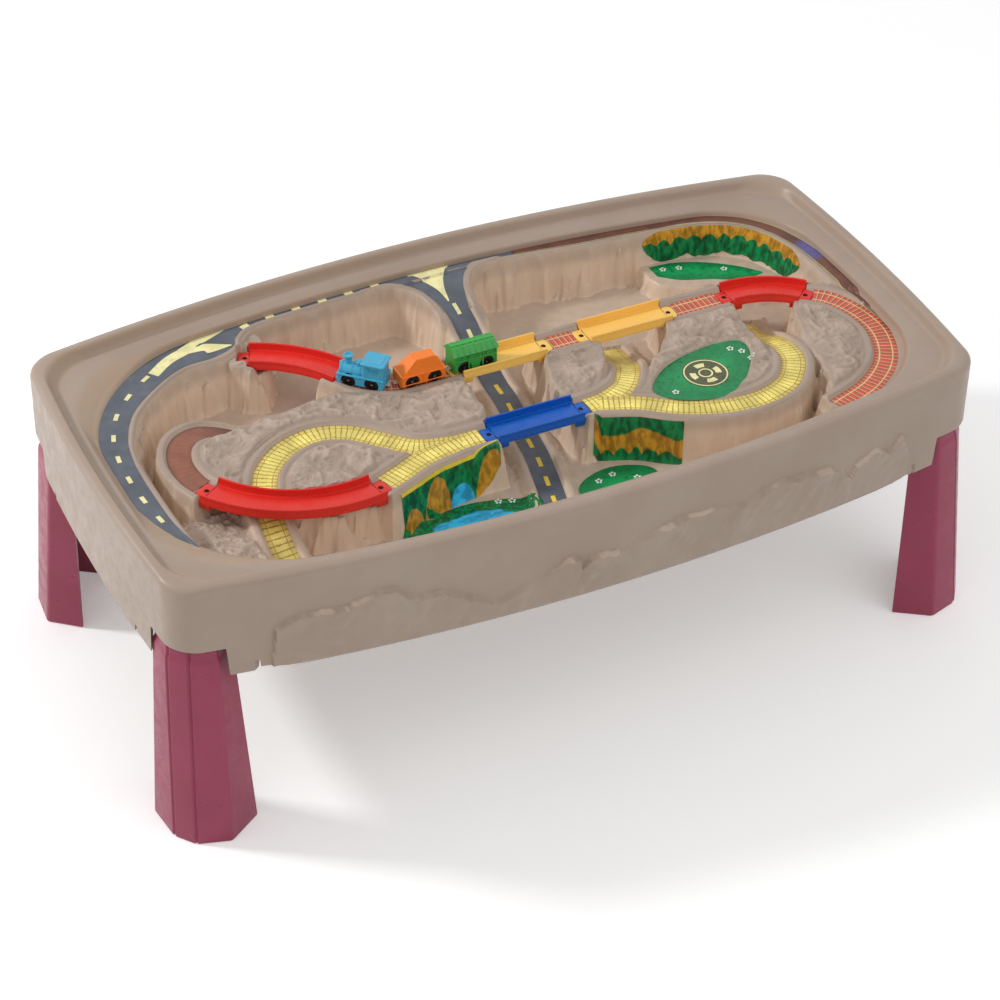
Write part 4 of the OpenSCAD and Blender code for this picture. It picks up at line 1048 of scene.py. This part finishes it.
SHELF_OUTER = [
    (-519, -176), (-533, -150), (-553, -100), (-564, -50), (-567, 0), (-565, 50), (-555, 100), (-535, 148),
    (-504, 191), (-459, 229), (-399, 255), (-340, 272), (-290, 279), (-250, 283), (-180, 287), (-60, 292), (20, 293),
    (90, 291), (150, 288),
]
SHELF_INNER = [
    (-516, -177), (-523, -150), (-530, -105), (-532, -45), (-532, 0), (-529, 42), (-519, 86), (-492, 137),
    (-444, 180), (-393, 209), (-344, 214), (-310, 228), (-297, 249), (-264, 268), (-180, 276), (-60, 281), (20, 276),
    (90, 279), (150, 274),
]
STRIP = [
    (150, 279), (250, 269), (335, 260), (407, 250), (454, 238), (497, 213), (527, 175), (541, 140), (550, 105),
    (555, 60), (557, 6), (560, -40), (563, -92),
]
# Films on the rail lanes: number of the lane, start, length left off at its end, print
LANE_FILMS = [
    (0, 33, 13, "brick"), (1, 16, 16, "brick"), (2, 16, 16, "brick"), (3, 18, 2, "brick"), (4, 14, 2, "track"),
    (5, 2, 16, "track"), (6, 17, 2, "brown"), (7, 14, 2, "track"), (8, 2, 2, "track"),
]
FLOWERS = [
    (326, -60), (338, -72), (342, -92), (206, -120), (368, 212), (392, 206), (452, 176), (60, -176), (84, -170),
    (112, -190), (-66, -164), (-84, -158),
]


class TABLE_OT_films(bpy.types.Operator):
    """Printed roads, tracks, bushes and ground, as thin films on the landscape"""

    bl_idname = "table.films"
    bl_label = "Printed films"

    def execute(self, context):
        road = printed("road_film", road_print)
        track = {"track": printed("track_film", track_print), "brick": printed("brick_film", brick_print),
                 "brown": printed("brown_film", brown_print)}
        for number, start, short, kind in LANE_FILMS:
            path = rail_path(RAILS[number])
            lift = {0: 0.1, 5: 0.42, 8: 0.42}.get(number, 0.3)
            points, uv = ribbon(path, mm("lane_width") / 2 - 1.4, start, runs(path)[-1] - short, lift)
            self.film(f"track_film_{number}", points, uv, track[kind])
        shelf = between(SHELF_OUTER, SHELF_INNER, 12, 7)
        self.film("road_film_shelf", laid(shelf, 0.35), None, road)
        path = road_path()
        points, uv = ribbon(path, 18, 66, runs(path)[-1] - 2, 0.45, 9)
        self.film("road_film_centre", points, uv, road)
        mouth = between([(-92, 288), (-44, 275), (-15, 246), (-2, 218), (3, 196)],
                        [(124, 286), (78, 275), (55, 246), (45, 218), (40, 196)], 10, 25)
        self.film("road_film_mouth", laid(mouth, 0.4), None, road)
        strip = curve(np.hstack([STRIP, np.zeros((len(STRIP), 1))]), 12)
        length = runs(strip)[-1]
        run, side = lane_grid(0, length, 5)
        taper = np.interp(run, [0, 90, length - 110, length], [8, 10.5, 11, 0.3])
        self.film("strip_film", laid(on_path(strip, run, side * taper)[..., :2], 0.9), np.stack([run / 10, side], -1),
                  printed("strip_film", strip_print))
        self.marks(path)
        self.ground()
        return {"FINISHED"}

    def film(self, name, points, uv, finish, whole=False):
        """One film as a piece of its own."""
        film = Solid()
        film.film(points, uv, whole)
        put(name, film, finish, "table")

    def marks(self, centre):
        """Dashes at even steps along the roads, the forked arrow and the mark at the junction."""
        cream, yellow = printed("cream_film", cream_print), printed("yellow_film", yellow_print)
        left = (curve(SHELF_OUTER, 12) + curve(SHELF_INNER, 12)) / 2
        left = np.hstack([left, np.full((len(left), 1), mm("height") - mm("shelf_depth"))])
        rows = [("left", left, np.arange(84, 440, 48.0), 15, 3.0, cream),
                ("back", left, np.arange(605, 820, 42.0), 13, 4, cream),
                ("upper", centre, np.arange(72, 200, 44.0), 20, 3, cream),
                ("lower", centre, np.arange(204, 500, 44.0), 21, 3, yellow)]
        for name, path, places, length, half, finish in rows:
            dashes = Solid()
            for at in places:
                points, uv = ribbon(path, half, at - length / 2, at + length / 2, 0.75)
                if name == "back":
                    points[..., 1] -= 4
                dashes.film(points, uv)
            put(f"road_dashes_{name}", dashes, finish, "table")
        fork = Solid()
        shapes = [([(-441, 216), (-409, 240), (-375, 254)], [(-431, 203), (-402, 225), (-366, 239)]),
                  ([(-384, 251), (-358, 264), (-347, 271), (-306, 272)],
                   [(-372, 240), (-352, 252), (-342, 254), (-305, 270.5)]),
                  ([(-378, 250), (-356, 247), (-343, 248), (-312, 232)],
                   [(-372, 236), (-352, 234), (-346, 226), (-311, 230)])]
        for k, (a, b) in enumerate(shapes):
            fork.film(laid(between(a, b, 8, 5), 0.75 + 0.15 * k))
        put("road_fork", fork, cream, "table")
        wedge = between([(-16, 287), (-2, 268), (10, 240), (15, 212)],
                        [(50, 287), (34, 268), (22, 240), (17, 212)], 10, 7)
        self.film("road_wedge", laid(wedge, 0.8), None, cream)

    def ground(self):
        """The pad, bushes on the walls and green ground on the canyon floor."""
        height = mm("height")
        grass = printed("grass_film", grass_print)
        middle = np.array([262.0, -98.0])
        outline = middle + (curve(PAD, 8, True) - middle) * 0.965
        xy, uv = disc(middle, outline, 12)
        level = height - mm("bank_depth") - 2
        self.film("pad_film", np.dstack([xy, np.full(xy.shape[:2], level + 0.3)]), uv, grass, True)
        xy, uv = disc((266.0, -97.0), circle(33, 72) + (266, -97), 10)
        plate = np.dstack([xy, np.full(xy.shape[:2], level + 0.65)])
        self.film("pad_disc", plate, uv, printed("disc_film", disc_print), True)
        edge = curve(VALLEY, 8, True)
        edge = np.hstack([np.vstack([edge, edge[:1]]), np.zeros((len(edge) + 1, 1))])
        first, last = near(np.array([(534.0, 92.0), (346.0, 246.0)]), edge, 80)[1]
        bank = [np.hstack([curve(RAILS[k], 10)[:, :2], np.zeros((len(curve(RAILS[k], 10)), 1))]) for k in (5, 8)]
        walls = [("hedge_film", edge, first, last, 9.4, 1.2, hedge_print),
                 ("hills_film", bank[0], -34, 142, 41, 30, hills_print),
                 ("bush_film", bank[1], -8, 118, -41, -30, bush_print)]
        for name, path, start, stop, low, top, build in walls:
            run, side = lane_grid(start, stop, 15)
            ends = np.clip(np.minimum(run - start, stop - run) / 26, 0, 1) ** 0.6 if name == "hedge_film" else 1
            xy = on_path(path, run, low + (top - low) * (side * ends + 1) / 2)[..., :2]
            self.film(name, laid(xy, 1.1), np.stack([run / 10, side], -1), printed(name, build))
        patch = between([(352, 226), (390, 222), (430, 206), (470, 178), (500, 146)],
                        [(352, 200), (380, 177), (425, 159), (465, 139), (499, 143)], 10, 13)
        side = np.broadcast_to(np.abs(np.linspace(-1, 1, 13)), patch.shape[:2])
        self.film("green_film_back", laid(patch, 0.5), np.stack([0 * side, side], -1), grass)
        turn = np.linspace(0, 2 * np.pi, 73)[:-1]
        rounds = (("pond_film", (-135.0, -198.0), (100, 52), pond_print),
                  ("green_film_front", (84.0, -198.0), (58, 44), grass_print))
        for name, centre, (wide, high), build in rounds:
            across = wide * np.cos(turn) * (1 + 0.08 * np.sin(3 * turn))
            loop = np.stack([centre[0] + across, centre[1] + high * np.sin(turn)], -1)
            xy, uv = disc(centre, loop, 14)
            self.film(name, laid(xy, 0.6), uv, printed(name, build), True)
        petals = Solid()
        for x, y in FLOWERS:
            for dx, dy in circle(3.6, 5):
                xy, uv = disc(np.array([x + dx, y + dy]), circle(1.7, 10) + (x + dx, y + dy), 3)
                petals.film(laid(xy, 1.1), uv, True)
        put("flower_dots", petals, printed("petal_film", petal_print), "table")


# Bridges


class TABLE_OT_bridges(bpy.types.Operator):
    """Six bridges: a channel section carried along each deck's line, with tongues and lugs at both ends"""

    bl_idname = "table.bridges"
    bl_label = "Bridges"

    def execute(self, context):
        c = context.scene.table_colours
        finishes = {k: moulded(f"bridge_{k}", getattr(c, k), rough=0.3, mottle=0.07, grain=900, dent=0.08)
                    for k in ("red", "orange", "blue")}
        for name, (first, last, bulge, colour) in BRIDGES.items():
            path = bridge_path(first, last, bulge)
            put(name + "_moulding", bridge(path), finishes[colour], "table",
                replaces=(name,), sharp=38)
        return {"FINISHED"}


def channel_section():
    """Deck with rounded side walls and a raised bead along each, as across and up from the deck's top."""
    turn = np.radians(np.linspace(0, 180, 9))
    right = [(23.2, -4), (24, -3.2), (24, 2.2), (23.5, 3.0), (23.5, 8.8)]
    right += [(21.9 + 1.6 * np.cos(a), 9.1 + 1.9 * np.sin(a)) for a in turn]
    right += [(20.3, 8.8), (20.0, 1.4), (19.6, 0.45), (18.6, 0.05)]
    right += [(16.2, 0.0), (15.9, -0.8), (13.4, -0.8), (13.1, 0.0)]
    left = [(-a, b) for a, b in right[::-1]]
    return np.array(right + left)


def carried(path, section, start, stop, ends=0.5):
    """Rings of a section carried along a path, drawn in a little at both ends."""
    middle_run = np.linspace(start + 2 * ends, stop - 2 * ends, 40)
    run = np.concatenate([[start, start + ends], middle_run, [stop - ends, stop]])
    shrink = np.ones(len(run))
    shrink[[0, -1]] = 0.975
    middle = section.mean(0)
    part = middle + (section - middle) * shrink[:, None, None]
    points = on_path(path, np.repeat(run[:, None], len(section), 1), part[..., 0])
    points[..., 2] += part[..., 1]
    return points


def tongue(path, at, inward):
    """End tongue: rings from the screw hole out over the plate with cut corners and back under it."""
    turn = np.linspace(0, 2 * np.pi, 64, endpoint=False)
    ray = np.stack([np.cos(turn), np.sin(turn)], -1)
    sides = np.array([(1, 0, 7.0), (-1, 0, 10.0), (0, 1, 14.0), (0, -1, 14.0),
                      (-0.72, 0.69, 14.3), (-0.72, -0.69, 14.3)])
    facing = ray @ sides[:, :2].T
    reach = np.min(np.where(facing > 1e-6, sides[:, 2] / np.maximum(facing, 1e-6), 1e6), axis=1)
    hole = 3.6 + 0 * reach
    rings = [(hole, -3.6), (hole, -0.5), (hole + 0.5, 0), (reach - 0.9, 0), (reach - 0.2, -0.3), (reach, -0.9),
             (reach, -3.5), (reach - 0.6, -4), (hole + 1, -4)]
    points = [on_path(path, at + inward * r * ray[:, 0], r * ray[:, 1]) + (0, 0, z) for r, z in rings]
    return np.array(points)


def bridge(path):
    """A whole bridge: the channel, a tongue at each end and a pair of lugs under each end."""
    solid = Solid()
    end = runs(path)[-1]
    solid.rings(carried(path, channel_section(), 5, end - 5))
    for at, inward in ((0, 1), (end, -1)):
        solid.tube(tongue(path, at, inward))
        for side in (-1, 1):
            lug = np.array([(20.6, -3), (23.4, -3), (23.4, -10.2), (22.8, -11), (21.2, -11), (20.6, -10.2)]) * (side, 1)
            solid.rings(carried(path, lug, *((5.4, 19) if at == 0 else (end - 19, end - 5.4))))
    return solid


# Legs


class TABLE_OT_legs(bpy.types.Operator):
    """Four legs: an open channel section that tapers upwards, with a shoulder under the tray and a closed top"""

    bl_idname = "table.legs"
    bl_label = "Legs"

    def execute(self, context):
        plastic = moulded("leg_plastic", context.scene.table_colours.leg, rough=0.34, mottle=0.1, grain=800, dent=0.06)
        corners = (("front_left", 1, 1), ("front_right", -1, 1), ("back_left", 1, -1), ("back_right", -1, -1))
        for name, sx, sy in corners:
            solid = Solid()
            for rings in leg_rings():
                solid.rings(rings * (sx, sy, 1))
            put(f"leg_{name}_moulding", solid, plastic, "table", replaces=(f"leg_{name}",), sharp=50)
        return {"FINISHED"}


def offset_line(p, t):
    """An open line moved to its left by t, mitred at the corners."""
    way = np.diff(p, axis=0)
    way /= np.hypot(*way.T)[:, None]
    left = np.stack([-way[:, 1], way[:, 0]], -1)
    a, b = np.vstack([left[:1], left]), np.vstack([left, left[-1:]])
    side = a + b
    side /= np.hypot(*side.T)[:, None]
    return p + side * t / np.maximum(np.sum(side * a, axis=1), 0.5)[:, None]


def rounded(p, radii, steps=5):
    """An open line with each inner corner replaced by a curve that starts the given distance before it."""
    t = np.linspace(0, 1, steps)[:, None]
    out = [p[:1]]
    for k in range(1, len(p) - 1):
        before, after = p[k - 1] - p[k], p[k + 1] - p[k]
        a = p[k] + before / np.hypot(*before) * radii[k - 1]
        b = p[k] + after / np.hypot(*after) * radii[k - 1]
        out.append(a * (1 - t) ** 2 + 2 * p[k] * t * (1 - t) + b * t**2)
    return np.vstack(out + [p[-1:]])


def leg_line(z, t):
    """The leg's outer line at height z, with a groove at both outer corners, moved inwards by t and rounded."""
    top = mm("height") - POCKET_DEPTH
    p = np.array(LEG_FLOOR) * (1 - z / top) + np.array(LEG_HEAD) * z / top
    grooves = []
    for k in (2, 3):
        a, b = p[k - 1] - p[k], p[k + 1] - p[k]
        a, b = a / np.hypot(*a), b / np.hypot(*b)
        inward = (a + b) / np.hypot(*(a + b))
        grooves += [p[k] + a * 2.8, p[k] + inward * 3.4, p[k] + b * 2.8]
    line = np.vstack([p[:2], grooves, p[4:]])
    return rounded(offset_line(line, t), (5, 1.3, 0.8, 1.3, 1.3, 0.8, 1.3, 5))


def leg_rings():
    """Rings of the leg's channel wall from the foot to the shoulder, and of the plate that closes its top."""
    top = mm("height") - POCKET_DEPTH
    wall, plate = [], []
    levels = [(0, 1.2), (0.8, 0.3), (2.5, 0), (60, 0), (140, 0), (220, 0), (281, 0)]
    levels += [(286, 0.5), (289, 1.7), (292, 2.4), (top, 2.6)]
    for z, t in levels:
        ring_points = np.vstack([leg_line(z, t), leg_line(z, 5)[::-1]])
        wall.append(np.column_stack([ring_points, np.full(len(ring_points), z)]))
    for z, t in [(top - 8, 3.4), (top - 0.6, 3.4), (top, 4.0)]:
        ring_points = leg_line(z, t)
        plate.append(np.column_stack([ring_points, np.full(len(ring_points), z)]))
    return np.array(wall), np.array(plate)


# Train


class TABLE_OT_train(bpy.types.Operator):
    """Finishes of the cars, wheels and screws, and the mouldings on the cars' bodies"""

    bl_idname = "table.train"
    bl_label = "Train"

    def execute(self, context):
        c = context.scene.table_colours
        plastics = {k: moulded(f"{k}_plastic", getattr(c, k), rough=0.3, mottle=0.08, grain=1100, dent=0.08)
                    for k in CARS}
        black = moulded("wheel_plastic", linear(24, 24, 26), rough=0.35, mottle=0.2, grain=1300, dent=0.12)
        base = moulded("base_plastic", linear(38, 38, 40), rough=0.5, mottle=0.2, grain=1300, dent=0.12)
        hitch = moulded("hitch_plastic", linear(205, 202, 192), rough=0.4, mottle=0.08, grain=1300, dent=0.1)
        steel = brushed("screw_steel", linear(168, 168, 170), 0.35)
        # Painted shade: the bridge screws are near-black, standing for the shade in their recessed holes
        dark = brushed("dark_steel", linear(40, 34, 30), 0.45)
        finishes = {"leg_screws": steel, "bridge_screws": dark}
        for car in CARS:
            finishes |= {car + "_body": plastics[car], car + "_base": base, car + "_hitch": hitch}
            for end in ("front", "rear"):
                finishes |= {f"{car}_{end}_axle": steel, f"{car}_{end}_wheels": black}
        for node, finish in finishes.items():
            for material_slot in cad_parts[node].material_slots:
                material_slot.material = finish
        mouldings = (("engine", engine_parts(), "car_blue"), ("tender", tender_parts(), "car_orange"),
                     ("boxcar", boxcar_parts(), "car_green"))
        for car, parts, slot in mouldings:
            x, y, heading = CARS[car]
            turn = np.radians(heading)
            spin = np.array([[np.cos(turn), np.sin(turn), 0], [-np.sin(turn), np.cos(turn), 0], [0, 0, 1]])
            solid = Solid()
            for rings in parts:
                solid.rings(np.asarray(rings) @ spin + (x, y, mm("height") - mm("lane_depth")))
            put(car + "_mouldings", solid, plastics[car], car)
        return {"FINISHED"}


def brushed(name, colour, rough):
    """Plain steel with fine turned marks."""
    f = Finish(name, Metallic=1.0)
    marks = f.noise(900, 3, stretch=(1, 1, 6))
    f.set("Base Color", f.mix(marks, shade(colour, 0.8), shade(colour, 1.1)))
    f.set("Roughness", f.span(marks, 0.3, 0.7, rough - 0.08, rough + 0.12))
    f.bump(marks, 0.1, 0.0002)
    return f.material


def box_ring(x, y, half_x, half_y, radius, z):
    """A rounded rectangle at a height, six points to a corner."""
    turn = np.radians(np.linspace(0, 90, 6)[None, :] + 90 * np.arange(4)[:, None]).ravel()
    cx, cy = np.repeat([1, -1, -1, 1], 6), np.repeat([1, 1, -1, -1], 6)
    return np.stack([x + cx * (half_x - radius) + radius * np.cos(turn),
                     y + cy * (half_y - radius) + radius * np.sin(turn), 0 * turn + z], -1)


def slab(x, y, half_x, half_y, low, high, radius=1.2, edge=0.5):
    """A rounded block with softened top and bottom edges."""
    levels = ((edge, low), (0, low + edge), (0, high - edge), (edge, high))
    return [box_ring(x, y, half_x - cut, half_y - cut, radius, z) for cut, z in levels]


def hoops(profile, level):
    """Rings round a line along x at that level, from a profile of places along it and radii."""
    turn = np.radians(np.linspace(0, 360, 33)[:-1])
    return [np.stack([0 * turn + x, r * np.cos(turn), level + r * np.sin(turn)], -1) for x, r in profile]


def turned(profile, x):
    """Rings round an upright line at x, from a profile of heights and radii."""
    turn = np.radians(np.linspace(0, 360, 33)[:-1])
    return [np.stack([x + r * np.cos(turn), r * np.sin(turn), 0 * turn + z], -1) for z, r in profile]


def engine_parts():
    """Cab roof with a raised panel, running boards, boiler bands, lamp, dome cap and the chimney's lip."""
    parts = [slab(-18.04, 0, 17.2, 17.2, 39.6, 43.6, 3.4, 0.9), slab(-18.04, 0, 12.5, 12.0, 43, 44.4, 2.5, 0.6)]
    for side in (-1, 1):
        parts.append(slab(0, side * 15.4, 34.6, 1.6, 18.2, 20.2, 0.8, 0.4))
        parts.append(slab(-19, side * 15.1, 9.2, 0.6, 30.2, 31.2, 0.3, 0.2))
    boiler = 31 - 11.52
    for at in (2.0, 14.0, 29.0):
        parts.append(hoops([(at - 0.9, 11.4), (at - 0.7, 12.1), (at + 0.7, 12.1), (at + 0.9, 11.4)], boiler))
    parts.append(hoops([(31.0, 3.6), (33.6, 3.6), (34.2, 3.1), (34.2, 2.2), (33.4, 1.6)], 27))
    chimney_lip = [(39.5, 5.6), (40.2, 6.6), (42.6, 6.9), (43.2, 6.4), (43.2, 4.6), (41.6, 4.2)]
    parts.append(turned(chimney_lip, 21.76))
    parts.append(turned([(33, 5.2), (35.4, 5.0), (36.4, 4.0), (36.9, 2.2)], 5.44))
    parts.append(slab(34.2, 0, 1.0, 14.5, 7.5, 12.5, 0.6, 0.4))
    return parts


def tender_parts():
    """Rails along the top and lower edges of each side, posts at its ends and middle, and a flat plate across the car
    above them.
    """
    parts = []
    for side in (-1, 1):
        parts.append(slab(0, side * 15.9, 33.0, 0.9, 19.4, 21.2, 0.6, 0.4))
        parts.append(slab(0, side * 15.9, 33.0, 0.7, 6.0, 7.6, 0.5, 0.3))
        for x in (-31.5, 0.0, 31.5):
            parts.append(slab(x, side * 15.9, 1.3, 0.8, 6.0, 21.0, 0.4, 0.3))
    parts.append(slab(-5.44, 0, 14.6, 9.0, 39.5, 40.9, 2.0, 0.6))
    return parts


def boxcar_parts():
    """Roof boards across the car, a walk along the ridge, and posts and rails on the sides."""
    parts = []
    # A board's half width, then the across and height of its lower and upper edge, from eave to eave
    board = ((1.2, -17.2, 32.6, -16.9, 33.4), (1.0, -8.2, 40.9, -8.2, 41.8),
             (1.0, 8.2, 40.9, 8.2, 41.8), (1.2, 17.2, 32.6, 16.9, 33.4))
    for x in np.linspace(-27, 27, 7):
        parts.append([[(x - half, y, z), (x + half, y, z), (x + half, y_up, z_up), (x - half, y_up, z_up)]
                      for half, y, z, y_up, z_up in board])
    parts.append(slab(0, 0, 33.0, 3.0, 40.6, 42.4, 0.8, 0.4))
    for side in (-1, 1):
        parts.append(slab(0, side * 15.5, 32.5, 0.7, 21.4, 23.0, 0.5, 0.3))
        for x in (-31.0, -10.5, 10.5, 31.0):
            parts.append(slab(x, side * 15.6, 1.2, 0.8, 8.0, 32.0, 0.4, 0.3))
    return parts


class TABLE_OT_stage(bpy.types.Operator):
    """Pale floor, soft light and the camera"""

    bl_idname = "table.stage"
    bl_label = "Stage"

    def execute(self, context):
        scene = context.scene
        scene.view_settings.view_transform = "Standard"
        floor = Finish("floor_paper", Roughness=0.9, Emission_Color=(1, 1, 1, 1))
        floor.set("Base Color", floor.mix(floor.noise(3, 2), (0.90, 0.90, 0.90, 1), (0.93, 0.93, 0.93, 1)))
        rays = floor.node("LightPath").outputs
        seen = either(floor, rays["Is Camera Ray"], either(floor, rays["Is Glossy Ray"], rays["Is Transmission Ray"]))
        floor.set("Emission Strength", floor.maths("MULTIPLY", seen, 0.24))
        side, level = 30.0, -0.0005
        mesh = bpy.data.meshes.new("floor")
        corners = [(x * side, y * side, level) for x, y in ((-1, -1), (1, -1), (1, 1), (-1, 1))]
        mesh.from_pydata(corners, [], [(0, 1, 2, 3)])
        mesh.materials.append(floor.material)
        ground = bpy.data.objects.new("floor", mesh)
        scene.collection.objects.link(ground)
        world = bpy.data.worlds.new("studio")
        world.use_nodes = True
        tree = world.node_tree
        paths = tree.nodes.new("ShaderNodeLightPath").outputs
        seen = paths["Is Camera Ray"]
        for ray in ("Is Glossy Ray", "Is Transmission Ray"):
            larger = tree.nodes.new("ShaderNodeMath")
            larger.operation = "MAXIMUM"
            tree.links.new(seen, larger.inputs[0])
            tree.links.new(paths[ray], larger.inputs[1])
            seen = larger.outputs[0]
        strength = tree.nodes.new("ShaderNodeMapRange")
        strength.inputs[3].default_value, strength.inputs[4].default_value = 0.62, 1.0
        tree.links.new(seen, strength.inputs[0])
        tree.links.new(strength.outputs[0], tree.nodes["Background"].inputs[1])
        tree.nodes["Background"].inputs[0].default_value = (1, 1, 1, 1)
        scene.world = world
        for name, at, size, power in (("key", (-2.95, 1.75, 2.8), 0.5, 76), ("fill", (1.0, -2.4, 3.4), 3.0, 24)):
            lamp = bpy.data.lights.new(name, "AREA")
            lamp.size, lamp.energy = size, power
            light = bpy.data.objects.new(name, lamp)
            aim = Vector((0, 0, 0.35)) - Vector(at)
            light.matrix_world = Matrix.Translation(at) @ aim.to_track_quat("-Z", "Y").to_matrix().to_4x4()
            scene.collection.objects.link(light)
        camera = bpy.data.objects.new("camera", bpy.data.cameras.new("camera"))
        camera.data.lens, camera.data.sensor_width = 108.02, 36.0
        at, target = Vector((-1.5202, -3.0181, 2.7977)), Vector((-0.1422, -0.2788, 0.414))
        look = (target - at).to_track_quat("-Z", "Y").to_matrix().to_4x4()
        camera.matrix_world = Matrix.Translation(at) @ look @ Matrix.Rotation(np.radians(1.1167), 4, "Z")
        scene.collection.objects.link(camera)
        scene.camera = camera
        return {"FINISHED"}


class TABLE_PT_panel(bpy.types.Panel):
    """Lists the table's sizes, colours and pieces"""

    bl_idname = "TABLE_PT_panel"
    bl_label = "Train table"
    bl_space_type = "VIEW_3D"
    bl_region_type = "UI"
    bl_category = "Table"

    def draw(self, context):
        for group in (context.scene.table_sizes, context.scene.table_colours):
            for key in group.__annotations__:
                self.layout.prop(group, key)
        for step in STEPS:
            self.layout.operator(step.bl_idname)


STEPS = [TABLE_OT_tray, TABLE_OT_landscape, TABLE_OT_films, TABLE_OT_bridges, TABLE_OT_legs, TABLE_OT_train,
         TABLE_OT_stage]
CLASSES = [TableSizes, TableColours, *STEPS, TABLE_PT_panel]


def register():
    """Registers the classes, and hangs the sizes and colours on the scene."""
    for cls in CLASSES:
        bpy.utils.register_class(cls)
    bpy.types.Scene.table_sizes = PointerProperty(type=TableSizes)
    bpy.types.Scene.table_colours = PointerProperty(type=TableColours)


def unregister():
    """Takes back what register does."""
    del bpy.types.Scene.table_sizes, bpy.types.Scene.table_colours
    for cls in reversed(CLASSES):
        bpy.utils.unregister_class(cls)


def main():
    """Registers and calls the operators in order."""
    register()
    for step in STEPS:
        group, name = step.bl_idname.split(".")
        getattr(getattr(bpy.ops, group), name)()


if __name__ == "__main__":
    main()
